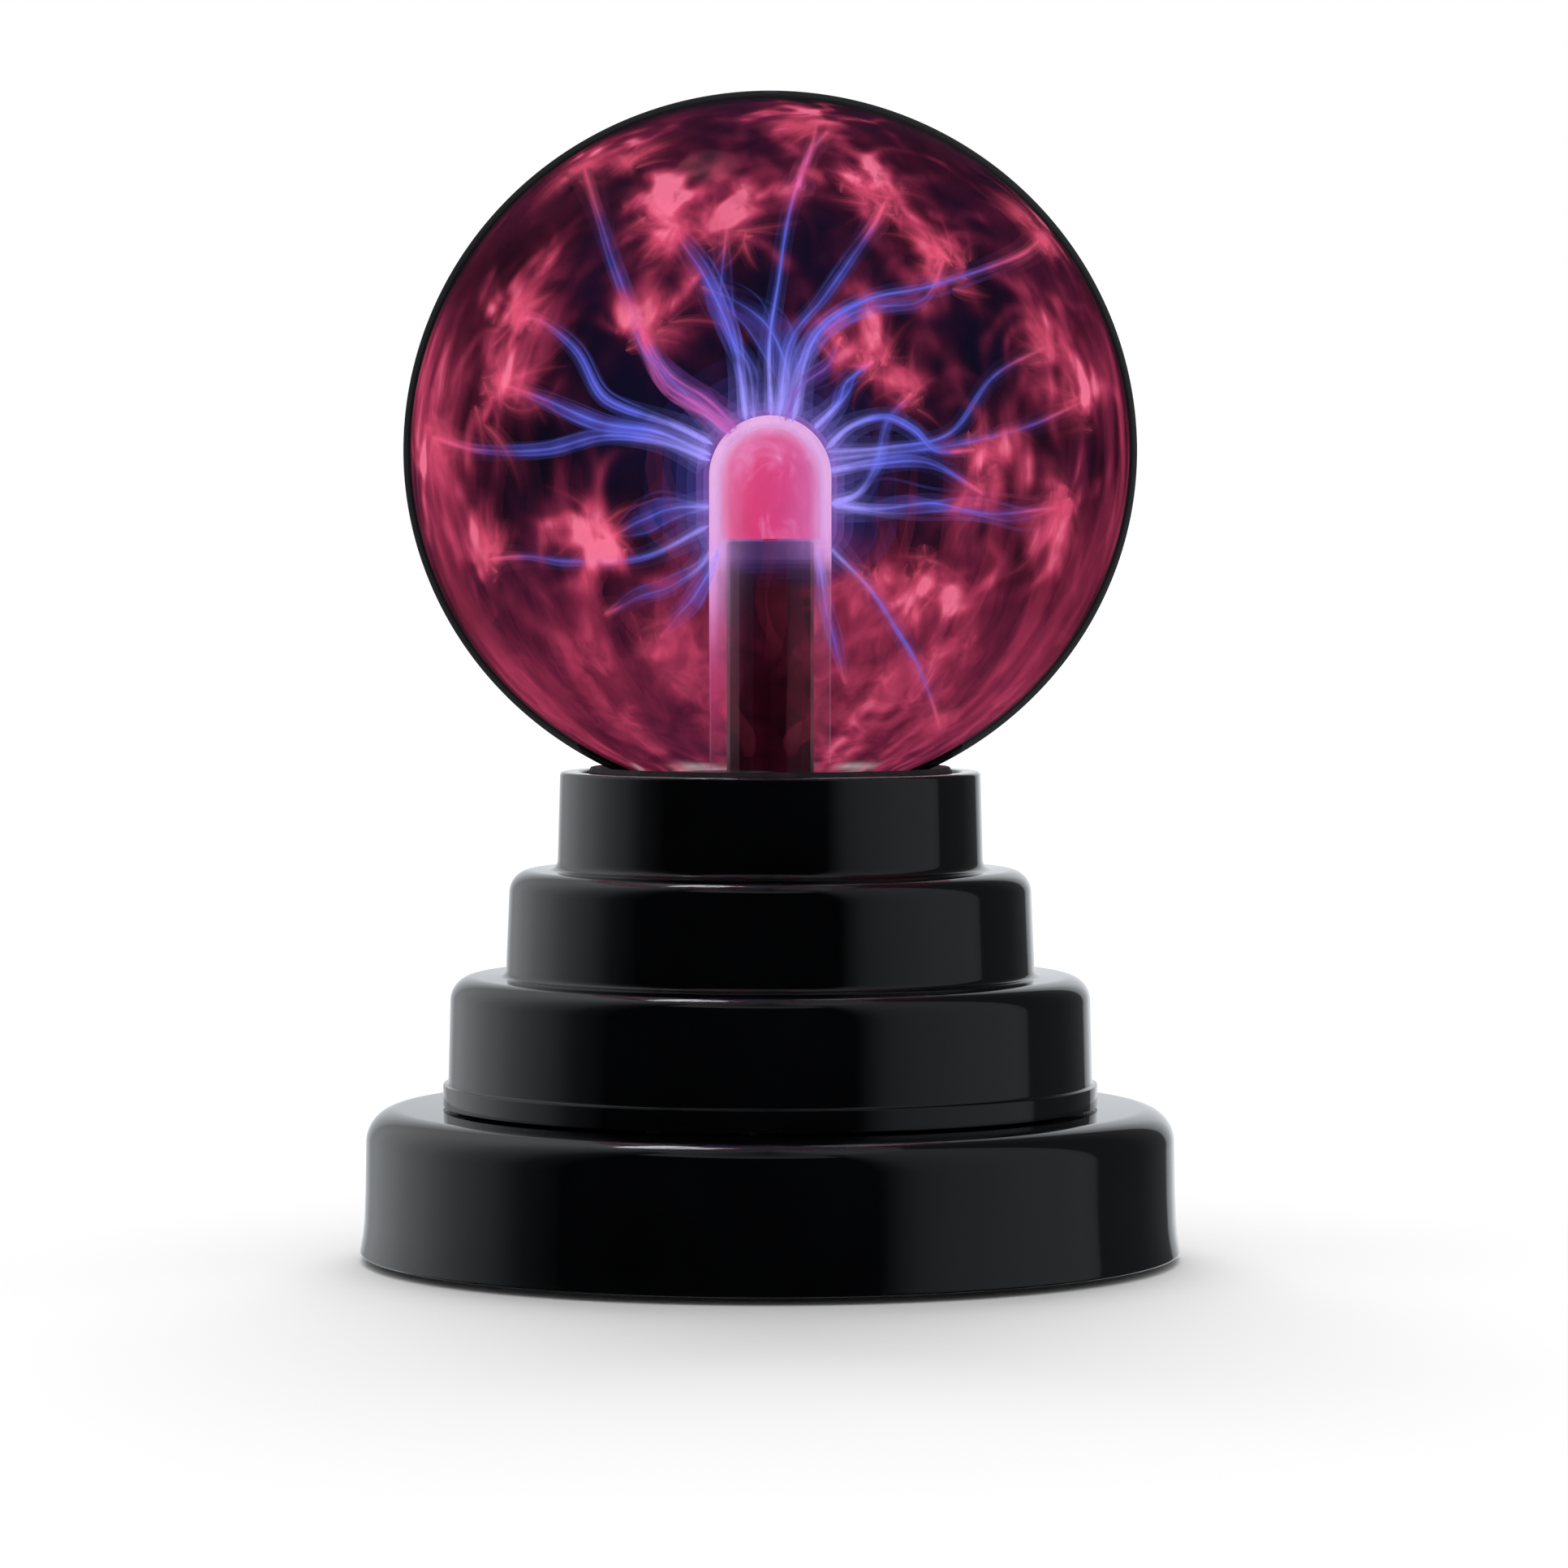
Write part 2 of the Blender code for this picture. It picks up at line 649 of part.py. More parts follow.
def make_transformer():
    x, y = TRANSFORMER
    low = PART_SEAT_Z
    inside = low + CORE_LEG
    top = inside + CORE_WINDOW_Z + CORE_LEG
    core = box(
        "transformer_core",
        (x - CORE_HALF_X, x + CORE_HALF_X),
        (y - CORE_LEG, y + CORE_LEG),
        (low, top),
        "ferrite",
    )
    for side in (-1, 1):
        edges = sorted((x + side * CORE_LEG, x + side * CORE_WINDOW_X))
        cut(core, box(f"core window {side}", edges, (y - 5, y + 5), (inside, top - CORE_LEG)))
    spool_low = inside + GAP
    spool_top = top - CORE_LEG - GAP
    spool = [
        (3.9, spool_top),
        (7.6, spool_top),
        (7.6, spool_top - 0.8),
        (4.6, spool_top - 0.8),
        (4.6, spool_low + 0.8),
        (7.6, spool_low + 0.8),
        (7.6, spool_low),
        (3.9, spool_low),
    ]
    turned("transformer_former", spool, "former_white", SLIM_STEPS, at=(x, y, 0))
    coil_top = spool_top - 0.8 - GAP
    coil_low = spool_low + 0.8 + GAP
    coil = [(4.9, coil_top), (6.9, coil_top), (7.2, coil_top - 0.4), (7.2, coil_low + 0.4)]
    coil += [(6.9, coil_low), (4.9, coil_low)]
    turned("transformer_winding", coil, "copper", SLIM_STEPS, at=(x, y, 0))


def make_heat_sink():
    sink = box("heat_sink", HEAT_SINK_X, HEAT_SINK_Y, (PART_SEAT_Z, HEAT_SINK_TOP), "aluminium")
    low_y, high_y = HEAT_SINK_Y
    low_x, high_x = HEAT_SINK_X
    fins, margin = 4, 0.2
    pitch = (high_y - low_y - 2 * margin - FIN_THICK) / (fins - 1)
    for i in range(fins):
        y = low_y + margin + i * pitch
        fin_z = (PART_SEAT_Z + 0.5, HEAT_SINK_TOP - 0.5)
        join(sink, box(f"fin {i}", (high_x - 0.5, FIN_REACH_X), (y, y + FIN_THICK), fin_z))
    cut(sink, rod("sink hole", 1.6, low_x - 1.5, high_x + 1.0, TAB_SCREW, along="X"))


def make_power_transistor():
    back = HEAT_SINK_X[0] - GAP
    body = box("power_transistor", (back - 4.3, back), (-16, -6), (8.6, 16.5), "matte_black", edge=0.3)
    tab = box("transistor tab", (back - 1.3, back), (-15.9, -6.1), (16.0, 21.7))
    join(body, tab)
    for i in (-1, 0, 1):
        y = TAB_SCREW[0] + i * LEG_PITCH
        join(body, box(f"transistor leg {i}", (9.6, 10.4), (y - 0.4, y + 0.4), (PART_SEAT_Z, 9.2)))
    cut(body, rod("tab hole", 1.6, 8.0, 13.0, TAB_SCREW, along="X"))


def make_heat_sink_screw():
    y, z = TAB_SCREW
    shaft = rod("heat_sink_screw", 1.2, 9.0, 16.0, TAB_SCREW, "screw_steel", along="X")
    join(shaft, rod("sink screw head", 2.4, 9.0, 10.5, (y, z), along="X", steps=SMALL_STEPS))


def make_capacitors():
    low = PART_SEAT_Z
    can = [
        (0.0, low + 11.2),
        (3.6, low + 11.2),
        (4.0, low + 10.8),
        (4.0, low + 1.8),
        (3.7, low + 1.4),
        (4.0, low + 1.0),
        (4.0, low),
        (0.0, low),
    ]
    turned("main_capacitor", can, "can_blue", SMALL_STEPS, at=(*MAIN_CAPACITOR, 0))
    x, y = FILM_CAPACITOR
    sides = ((x - 2.3, x + 2.3), (y - 4.5, y + 4.5), (low + 0.3, 14.0))
    film = box("film_capacitor", *sides, "film_orange", edge=0.7)
    for i in (-1, 1):
        leg_y = y + i * 2.5
        join(film, box(f"film leg {i}", (x - 0.3, x + 0.3), (leg_y - 0.3, leg_y + 0.3), (low, low + 1.2)))


def make_oscillator_chip():
    x, y = OSCILLATOR_CHIP
    low = PART_SEAT_Z
    sides = ((x - 4.7, x + 4.7), (y - 3.1, y + 3.1), (low + 0.8, low + 4.0))
    chip = box("oscillator_chip", *sides, "matte_black")
    for side in (-1, 1):
        for i in range(4):
            pin_x = x + (i - 1.5) * LEG_PITCH
            edges = sorted((y + side * 2.9, y + side * 3.8))
            pin = box(f"chip pin {side} {i}", (pin_x - 0.3, pin_x + 0.3), edges, (low, low + 2.4))
            join(chip, pin)


def make_resistors():
    z = PART_SEAT_Z + 1.9
    half, span, lead = 3.0, 4.6, 0.32
    for i, y in enumerate(RESISTOR_ROWS):
        name = f"resistor_{i + 1}"
        body = rod(name, 1.15, -half, half, (y, z), "resistor_tan", along="X", steps=SMALL_STEPS)
        route = [(-span, y, PART_SEAT_Z), (-span, y, z), (span, y, z), (span, y, PART_SEAT_Z)]
        join(body, wire_as_mesh(f"lead of {name}", route, lead))


# Switch and power inlet


def make_switch():
    reach = SWITCH_TRAVEL / 2 + KNOB_HALF[0] + 0.4
    high = KNOB_HALF[1] + 0.4
    body = box("switch_body", (-6.6, 6.6), (33.6, 39.6), (PART_SEAT_Z, 12.9), "matte_black", edge=0.3)
    slot_z = (SWITCH_Z - high, SWITCH_Z + high)
    cut(body, box("switch slot", (-reach, reach), (36.4, 41.0), slot_z))
    centre_x = -SWITCH_TRAVEL / 2
    back_y = 36.8
    depth = (KNOB_TIP_Y - back_y) / 2
    middle_y = back_y + depth
    shape = bmesh.new()
    size = Matrix.Diagonal([KNOB_HALF[0] * 2 * MM, depth * 2 * MM, KNOB_HALF[1] * 2 * MM, 1.0])
    bmesh.ops.create_cube(shape, size=1.0, matrix=size)
    mesh = smooth_mesh("switch_knob", shape)
    knob = place("switch_knob", mesh, "matte_black", (centre_x, middle_y, SWITCH_Z))
    bevel = knob.modifiers.new("Edges", "BEVEL")
    bevel.width = 0.3 * MM
    bevel.segments = 1
    for i in (-1, 0, 1):
        x = centre_x + i * 1.3
        groove = (KNOB_TIP_Y - 0.4, KNOB_TIP_Y + 1)
        cut(knob, box(f"grip groove {i}", (x - 0.25, x + 0.25), groove, (SWITCH_Z - 3, SWITCH_Z + 3)))


def make_inlet():
    turn = INLET_ANGLE
    spot = (0, INLET_Z)
    jack = box("dc_jack", (-4.6, 4.6), (31.0, 41.4), (PART_SEAT_Z, 13.2), "matte_black", turn=turn)
    join(jack, rod("jack collar", 4.0, 40.5, 44.0, spot, along="Y", steps=SLIM_STEPS, turn=turn))
    cut(jack, rod("jack bore", INLET_BORE, 34.5, 45.0, spot, along="Y", steps=SLIM_STEPS, turn=turn))
    rod("dc_jack_pin", 1.0, 34.8, 43.0, spot, "brass_pin", along="Y", steps=SMALL_STEPS, turn=turn)


make_glass_globe()
make_stem_glass()
make_exhaust_tip()
make_electrode_dome()
make_electrode_sleeve()
make_hv_lead()
make_neck_seal()
make_seat_pad()
make_globe_cradle()
make_upper_housing()
make_lower_housing()
make_bottom_cover()
make_feet()
make_screws()
make_circuit_board()
make_transformer()
make_heat_sink()
make_power_transistor()
make_heat_sink_screw()
make_capacitors()
make_oscillator_chip()
make_resistors()
make_switch()
make_inlet()
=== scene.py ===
import math

import bmesh
import bpy
import numpy as np
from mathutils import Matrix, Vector


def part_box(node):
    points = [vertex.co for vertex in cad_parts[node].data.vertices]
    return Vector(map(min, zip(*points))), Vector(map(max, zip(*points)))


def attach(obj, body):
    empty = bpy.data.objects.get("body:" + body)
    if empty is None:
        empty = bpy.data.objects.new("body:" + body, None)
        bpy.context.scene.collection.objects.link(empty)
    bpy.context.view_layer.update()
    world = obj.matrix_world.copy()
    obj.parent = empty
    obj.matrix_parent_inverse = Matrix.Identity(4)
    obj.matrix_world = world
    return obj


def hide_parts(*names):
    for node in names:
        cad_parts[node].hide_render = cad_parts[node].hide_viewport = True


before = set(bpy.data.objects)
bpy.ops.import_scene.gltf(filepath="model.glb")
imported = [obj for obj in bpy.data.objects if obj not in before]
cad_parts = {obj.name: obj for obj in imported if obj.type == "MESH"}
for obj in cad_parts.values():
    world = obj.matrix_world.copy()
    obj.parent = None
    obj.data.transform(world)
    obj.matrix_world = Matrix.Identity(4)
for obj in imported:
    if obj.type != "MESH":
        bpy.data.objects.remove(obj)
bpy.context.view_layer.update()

scene = bpy.context.scene
mm = 0.001
lampBody = "lamp"
sliderBody = "switch_slider"
print("frame loaded:", len(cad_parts), "nodes")


# node helpers

def newTree(name):
    mat = bpy.data.materials.new(name)
    mat.use_nodes = True
    mat.node_tree.nodes.clear()
    return mat, mat.node_tree


def put(tree, kind, settings=None, **sockets):
    # sockets are given by their names, with _ for a space
    made = tree.nodes.new(kind)
    for key, value in (settings or {}).items():
        setattr(made, key, value)
    for key, value in sockets.items():
        target = made.inputs[int(key[1:])] if key[0] == "n" and key[1:].isdigit() else made.inputs[key.replace("_", " ")]
        if isinstance(value, bpy.types.NodeSocket):
            tree.links.new(value, target)
        else:
            target.default_value = value
    return made


def colourRamp(tree, factor, stops, mode="LINEAR"):
    ramp = put(tree, "ShaderNodeValToRGB", Fac=factor)
    ramp.color_ramp.interpolation = mode
    elements = ramp.color_ramp.elements
    while len(elements) < len(stops):
        elements.new(0.5)
    for element, (position, colour) in zip(elements, stops):
        element.position = position
        element.color = (*colour, 1.0) if len(colour) == 3 else colour
    return ramp.outputs["Color"]


def surface(tree, shader):
    out = tree.nodes.new("ShaderNodeOutputMaterial")
    tree.links.new(shader, out.inputs["Surface"])


def solidFinish(name, recipe):
    # a moulded, metal or painted finish: two tones, uneven gloss and a fine relief
    mat, tree = newTree(name)
    where = put(tree, "ShaderNodeTexCoord").outputs["Object"]
    stretch = put(tree, "ShaderNodeMapping", Vector=where, Scale=recipe.get("stretch", (1, 1, 1)))
    spots = stretch.outputs["Vector"]
    cloud = put(tree, "ShaderNodeTexNoise", Vector=spots, Scale=recipe["cloud"], Detail=4.0, Roughness=0.55)
    grain = put(tree, "ShaderNodeTexNoise", Vector=spots, Scale=recipe["grain"], Detail=3.0, Roughness=0.6)
    colour = colourRamp(tree, cloud.outputs["Fac"], [(0.3, recipe["tones"][0]), (0.7, recipe["tones"][1])])
    low, high = recipe["roughness"]
    rough = put(tree, "ShaderNodeMapRange", Value=grain.outputs["Fac"], From_Min=0.3, From_Max=0.7,
                To_Min=low, To_Max=high)
    bump = put(tree, "ShaderNodeBump", Height=grain.outputs["Fac"], Strength=recipe.get("relief", 0.1),
               Distance=recipe.get("depth", 0.05) * mm)
    shader = put(tree, "ShaderNodeBsdfPrincipled", Base_Color=colour, Roughness=rough.outputs["Result"],
                 Normal=bump.outputs["Normal"])
    shader.inputs["Metallic"].default_value = recipe.get("metallic", 0.0)
    shader.inputs["Coat Weight"].default_value = recipe.get("coat", 0.0)
    shader.inputs["Coat Roughness"].default_value = 0.04
    shader.inputs["Specular IOR Level"].default_value = recipe.get("gloss", 0.5)
    surface(tree, shader.outputs["BSDF"])
    return mat


finishes = {
    "glossBlack": {"tones": ((0.0008, 0.0009, 0.0012), (0.0018, 0.0020, 0.0026)), "cloud": 60, "grain": 900,
                   "roughness": (0.05, 0.085), "relief": 0.05, "depth": 0.01},
    "matteBlack": {"tones": ((0.012, 0.012, 0.013), (0.024, 0.024, 0.026)), "cloud": 200, "grain": 3500,
                   "roughness": (0.45, 0.62), "relief": 0.35, "depth": 0.03},
    "knobBlack": {"tones": ((0.010, 0.010, 0.011), (0.020, 0.020, 0.022)), "cloud": 300, "grain": 3000,
                  "roughness": (0.28, 0.42), "relief": 0.2, "depth": 0.02},
    "rubber": {"tones": ((0.012, 0.012, 0.013), (0.030, 0.030, 0.031)), "cloud": 350, "grain": 2600,
               "roughness": (0.7, 0.9), "relief": 0.4, "depth": 0.05},
    "silicone": {"tones": ((0.62, 0.60, 0.59), (0.80, 0.79, 0.78)), "cloud": 250, "grain": 1800,
                 "roughness": (0.35, 0.55), "relief": 0.2, "depth": 0.04},
    "screwSteel": {"tones": ((0.42, 0.43, 0.46), (0.62, 0.63, 0.64)), "cloud": 500, "grain": 4000,
                   "roughness": (0.22, 0.38), "metallic": 1.0, "stretch": (1, 1, 4)},
    "aluminium": {"tones": ((0.62, 0.63, 0.65), (0.80, 0.81, 0.82)), "cloud": 250, "grain": 2500,
                  "roughness": (0.25, 0.42), "metallic": 1.0, "stretch": (1, 1, 8)},
    "boardGreen": {"tones": ((0.010, 0.085, 0.030), (0.022, 0.15, 0.055)), "cloud": 180, "grain": 1600,
                   "roughness": (0.25, 0.42), "relief": 0.25, "depth": 0.03},
    "ferrite": {"tones": ((0.030, 0.030, 0.033), (0.065, 0.064, 0.068)), "cloud": 350, "grain": 2800,
                "roughness": (0.5, 0.7), "relief": 0.3, "depth": 0.04},
    "copperWinding": {"tones": ((0.42, 0.12, 0.035), (0.72, 0.28, 0.10)), "cloud": 300, "grain": 900,
                      "roughness": (0.2, 0.35), "metallic": 1.0, "stretch": (0.2, 0.2, 6), "relief": 0.8},
    "formerCream": {"tones": ((0.62, 0.58, 0.46), (0.76, 0.72, 0.60)), "cloud": 200, "grain": 1800,
                    "roughness": (0.4, 0.55)},
    "leadRed": {"tones": ((0.36, 0.012, 0.012), (0.50, 0.025, 0.022)), "cloud": 250, "grain": 2200,
                "roughness": (0.35, 0.5)},
    "canBlue": {"tones": ((0.012, 0.022, 0.11), (0.03, 0.05, 0.20)), "cloud": 250, "grain": 1800,
                "roughness": (0.22, 0.36), "coat": 0.3},
    "filmOrange": {"tones": ((0.50, 0.11, 0.015), (0.70, 0.20, 0.035)), "cloud": 250, "grain": 1300,
                   "roughness": (0.2, 0.34), "relief": 0.3, "depth": 0.06},
    "resistorTan": {"tones": ((0.52, 0.33, 0.15), (0.68, 0.47, 0.26)), "cloud": 350, "grain": 1800,
                    "roughness": (0.35, 0.5)},
    "brassPin": {"tones": ((0.62, 0.42, 0.14), (0.80, 0.60, 0.26)), "cloud": 400, "grain": 3500,
                 "roughness": (0.15, 0.28), "metallic": 1.0},
    "sleeveBlack": {"tones": ((0.003, 0.002, 0.004), (0.009, 0.005, 0.010)), "cloud": 160, "grain": 1500,
                    "roughness": (0.38, 0.5), "stretch": (1, 1, 0.2), "gloss": 0.3},
}
paint = {name: solidFinish(name, recipe) for name, recipe in finishes.items()}
print("finishes:", len(paint))


# mesh helpers; outlines are (radius, height) points in mm

def arcPoints(centreR, centreZ, radius, start, end, steps):
    turns = [math.radians(start + (end - start) * i / steps) for i in range(steps + 1)]
    return [(centreR + radius * math.cos(a), centreZ + radius * math.sin(a)) for a in turns]


def spunMesh(name, outline, steps, loop=True, inwards=False):
    # turns an outline about Z; loop joins its last point to the first when neither is on the axis
    turns = np.arange(steps) * math.tau / steps
    rounds = np.stack([np.cos(turns), np.sin(turns), np.ones(steps)], 1)
    points, rows, count = [], [], 0
    for r, z in outline:
        width = 1 if r < 1e-6 else steps
        points.append(rounds[:width] * np.array([r, r, z]) * mm)
        rows.append(range(count, count + width))
        count += width
    pairs = list(zip(rows, rows[1:]))
    if loop and outline[0][0] > 0:
        pairs.append((rows[-1], rows[0]))
    faces = []
    for low, high in pairs:
        for k in range(steps):
            after = (k + 1) % steps
            if len(low) > 1 and len(high) > 1:
                faces.append((low[k], high[k], high[after], low[after]))
            elif len(low) > 1:
                faces.append((low[k], high[0], low[after]))
            elif len(high) > 1:
                faces.append((low[0], high[k], high[after]))
    mesh = bpy.data.meshes.new(name)
    mesh.from_pydata(np.concatenate(points).tolist(), [], faces)
    shape = bmesh.new()
    shape.from_mesh(mesh)
    bmesh.ops.recalc_face_normals(shape, faces=shape.faces)
    if inwards:
        bmesh.ops.reverse_faces(shape, faces=shape.faces)
    shape.to_mesh(mesh)
    shape.free()
    mesh.shade_smooth()
    return mesh


def crisp(mesh, degrees=32):
    mesh.shade_smooth()
    mesh.set_sharp_from_angle(angle=math.radians(degrees))
    return mesh


def addPiece(name, mesh, material, standsFor=(), body=lampBody):
    obj = bpy.data.objects.new(name, mesh)
    scene.collection.objects.link(obj)
    mesh.materials.clear()
    mesh.materials.append(material)
    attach(obj, body)
    if standsFor:
        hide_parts(*standsFor)
    return obj


def boxShape(low, high, bevel=0.0, segments=3):
    shape = bmesh.new()
    bmesh.ops.create_cube(shape, size=1.0)
    size = Vector(high) - Vector(low)
    middle = (Vector(high) + Vector(low)) / 2
    for vert in shape.verts:
        vert.co = Vector([c * s + m for c, s, m in zip(vert.co, size, middle)]) * mm
    if bevel:
        bmesh.ops.bevel(shape, geom=shape.edges[:] + shape.verts[:], offset=bevel * mm, segments=segments,
                        profile=0.5, affect="EDGES")
    return shape


def shapeMesh(name, shape):
    mesh = bpy.data.meshes.new(name)
    shape.to_mesh(mesh)
    shape.free()
    return mesh


def helper(name, mesh):
    obj = bpy.data.objects.new(name, mesh)
    scene.collection.objects.link(obj)
    return obj


def carved(mesh, steps):
    # applies (operation, tool mesh) steps to a mesh and returns the result
    obj = helper("blank", mesh)
    tools = []
    for operation, tool in steps:
        tools.append(helper("tool", tool))
        modifier = obj.modifiers.new(operation, "BOOLEAN")
        modifier.operation = operation
        modifier.solver = "EXACT"
        modifier.object = tools[-1]
    graph = bpy.context.evaluated_depsgraph_get()
    result = bpy.data.meshes.new_from_object(obj.evaluated_get(graph))
    for used in [obj, *tools]:
        bpy.data.objects.remove(used, do_unlink=True)
    return result


def drumMesh(name, radius, lowY, highY, centreZ, turn=0.0, steps=64):
    # a round bar along Y, turned about Z
    mesh = spunMesh(name, [(0, highY), (radius, highY), (radius, lowY), (0, lowY)], steps)
    spin = math.radians(turn)
    for vert in mesh.vertices:
        x, y, z = vert.co
        y, z = z, centreZ * mm - y
        vert.co = (x * math.cos(spin) - y * math.sin(spin), x * math.sin(spin) + y * math.cos(spin), z)
    return mesh


# upper housing: collar and two steps, turned from one outline

upperHousing = {
    "collarRadius": 23.0, "collarBore": 20.9, "rimRound": 0.45,
    "steps": ((28.55, 42.7, 2.5), (35.0, 31.1, 2.7)),  # radius, top, edge rounding
    "filletRadius": 1.1, "flangeRadius": 35.8, "flangeTop": 19.3, "wall": 2.0, "turns": 256,
}


def stepOutline(step, wallBottom, wallFlare, steps=14):
    radius, top, rounding = step
    points = arcPoints(radius - rounding, top - rounding, rounding, 90, 0, steps)
    return [*points, (radius + wallFlare, wallBottom)]


def foot(radius, floorZ, size, steps=7):
    # the hollow rounding where a wall meets the step below it
    return arcPoints(radius + size, floorZ + size, size, 180, 270, steps)


def upperOutline(u):
    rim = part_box("upper_housing")[1].z / mm
    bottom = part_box("upper_housing")[0].z / mm
    middle, wide = u["steps"]
    collarFoot = u["collarRadius"] + 0.25
    middleFoot = middle[0] + 0.35
    outline = [(u["collarBore"], rim - 0.25)]
    outline += arcPoints(u["collarBore"] + 0.25, rim - 0.25, 0.25, 180, 90, 4)[1:]
    outline += arcPoints(u["collarRadius"] - u["rimRound"], rim - u["rimRound"], u["rimRound"], 90, 0, 8)
    outline += foot(collarFoot, middle[1], u["filletRadius"])
    outline += stepOutline(middle, wide[1] + 2.2, 0.30)
    outline += foot(middleFoot, wide[1], 0.8)
    outline += stepOutline(wide, u["flangeTop"] + 0.5, 0.22)
    outline += foot(wide[0] + 0.24, u["flangeTop"], 0.3, 4)
    outline += arcPoints(u["flangeRadius"] - 0.15, u["flangeTop"] - 0.15, 0.15, 90, 0, 4)
    outline += [(u["flangeRadius"], bottom)]
    wall = u["wall"]
    outline += [
        (wide[0] - wall, bottom), (wide[0] - wall, wide[1] - wide[2]), (wide[0] - wide[2], wide[1] - wall),
        (middle[0] - wall, wide[1] - wall), (middle[0] - wall, middle[1] - middle[2]),
        (middle[0] - middle[2], middle[1] - wall), (u["collarBore"], middle[1] - wall),
    ]
    return outline


upperMesh = crisp(spunMesh("upperHousing", upperOutline(upperHousing), upperHousing["turns"]), 40)
addPiece("upperHousing", upperMesh, paint["glossBlack"], ["upper_housing"])
print("upper housing turned")


# lower housing: the wide drum, with the switch pocket and the inlet hole at the back

lowerHousing = {
    "radius": 44.2, "top": 16.7, "rounding": 3.7, "flare": 0.35, "footRadius": 44.9, "bore": 27.5, "wall": 2.0,
    "skirt": 0.8, "turns": 256, "pocketHalf": 6.2, "pocketZ": (5.4, 13.0), "pocketFloor": 42.4,
    "windowHalf": 4.2, "windowZ": (7.1, 11.3), "inletRadius": 4.3, "inletZ": 9.2, "inletTurn": 26.0,
}


def lowerOutline(h):
    r, top, rounding = h["radius"], h["top"], h["rounding"]
    outline = [(h["bore"], top)]
    outline += arcPoints(r - rounding, top - rounding, rounding, 90, 0, 20)
    outline += [(r + 0.08, 8.0), (r + 0.2, 4.6), (r + h["flare"], 3.0), (r + 0.55, 1.9)]
    outline += arcPoints(h["footRadius"] - 0.25, h["skirt"] + 0.3, 0.25, 30, -90, 6)
    inner = r - h["wall"]
    outline += [(inner + 0.25, h["skirt"] + 0.05), (inner, top - rounding)]
    outline += arcPoints(r - rounding, top - rounding, rounding - h["wall"], 0, 90, 6)[1:]
    outline += [(h["bore"], top - h["wall"])]
    return outline


def lowerMesh(h):
    low, high = h["windowZ"]
    block = shapeMesh("block", boxShape((-7.6, 40.0, 3.4), (7.6, 42.9, h["top"] - 1.5)))
    pocket = shapeMesh("pocket", boxShape((-h["pocketHalf"], h["pocketFloor"], h["pocketZ"][0]),
                                          (h["pocketHalf"], 47.0, h["pocketZ"][1]), 0.5, 4))
    window = shapeMesh("window", boxShape((-h["windowHalf"], 39.0, low), (h["windowHalf"], 46.0, high), 0.25))
    inlet = drumMesh("inlet", h["inletRadius"], 39.0, 47.0, h["inletZ"], h["inletTurn"])
    blank = spunMesh("lowerHousing", lowerOutline(h), h["turns"])
    return carved(blank, [("UNION", block), ("DIFFERENCE", pocket), ("DIFFERENCE", window),
                          ("DIFFERENCE", inlet)])


lowerPiece = addPiece("lowerHousing", crisp(lowerMesh(lowerHousing), 30), paint["glossBlack"],
                      ["lower_housing"])
print("lower housing turned and cut:", len(lowerPiece.data.polygons), "faces")


# globe: the blown glass, and a painted dark backing inside it that stands for the darkness seen through its far side

globe = {
    "radius": 40.0, "centre": 88.3, "rise": 39.2, "drop": 38.5, "wall": 1.0, "neck": 13.0,
    "blend": 16.5, "blendEnd": 48.5, "neckEnd": 38.5, "turns": 224, "rings": 110,
}


def globeSide(g, inset, rings):
    wide, blend, neck = g["radius"] - inset, g["blend"] - inset, g["neck"] - inset
    last = -math.acos(blend / wide)
    side = []
    for i in range(rings + 1):
        angle = math.pi / 2 + (last - math.pi / 2) * i / rings
        height = (g["rise"] if angle > 0 else g["drop"]) - inset
        side.append((wide * math.cos(angle), g["centre"] + height * math.sin(angle)))
    side[0] = (0.0, side[0][1])
    startZ = side[-1][1]
    slope = (g["drop"] - inset) * blend / (wide * wide * math.sqrt(1 - (blend / wide) ** 2))
    bendZ = startZ - slope * (blend - neck)
    for i in range(1, 9):
        t = i / 8
        radius = (1 - t) ** 2 * blend + (1 - (1 - t) ** 2) * neck
        side.append((radius, (1 - t) ** 2 * startZ + 2 * t * (1 - t) * bendZ + t * t * g["blendEnd"]))
    return side


def glassFinish(name, look):
    # clear glass that darkens towards its edge, with a mirror share that grows there
    mat, tree = newTree(name)
    where = put(tree, "ShaderNodeTexCoord").outputs["Object"]
    ripple = put(tree, "ShaderNodeTexNoise", Vector=where, Scale=look["ripple"], Detail=2.0)
    bump = put(tree, "ShaderNodeBump", Height=ripple.outputs["Fac"], Strength=0.15, Distance=0.05 * mm)
    facing = put(tree, "ShaderNodeLayerWeight", Blend=0.5).outputs["Facing"]
    outer = put(tree, "ShaderNodeAttribute", {"attribute_name": "outer"}).outputs["Fac"]
    rim = put(tree, "ShaderNodeMath", {"operation": "MULTIPLY"}, n0=facing, n1=outer).outputs[0]
    clear = put(tree, "ShaderNodeBsdfTransparent", Color=colourRamp(tree, rim, look["edge"], "EASE"))
    rough = put(tree, "ShaderNodeMapRange", Value=ripple.outputs["Fac"], To_Min=0.01, To_Max=0.04)
    gloss = put(tree, "ShaderNodeBsdfGlossy", Color=(1, 1, 1, 1), Roughness=rough.outputs["Result"],
                Normal=bump.outputs["Normal"])
    mirror = colourRamp(tree, rim, look["mirror"], "EASE")
    shader = put(tree, "ShaderNodeMixShader", n0=mirror, n1=clear.outputs[0], n2=gloss.outputs[0])
    surface(tree, shader.outputs[0])
    return mat


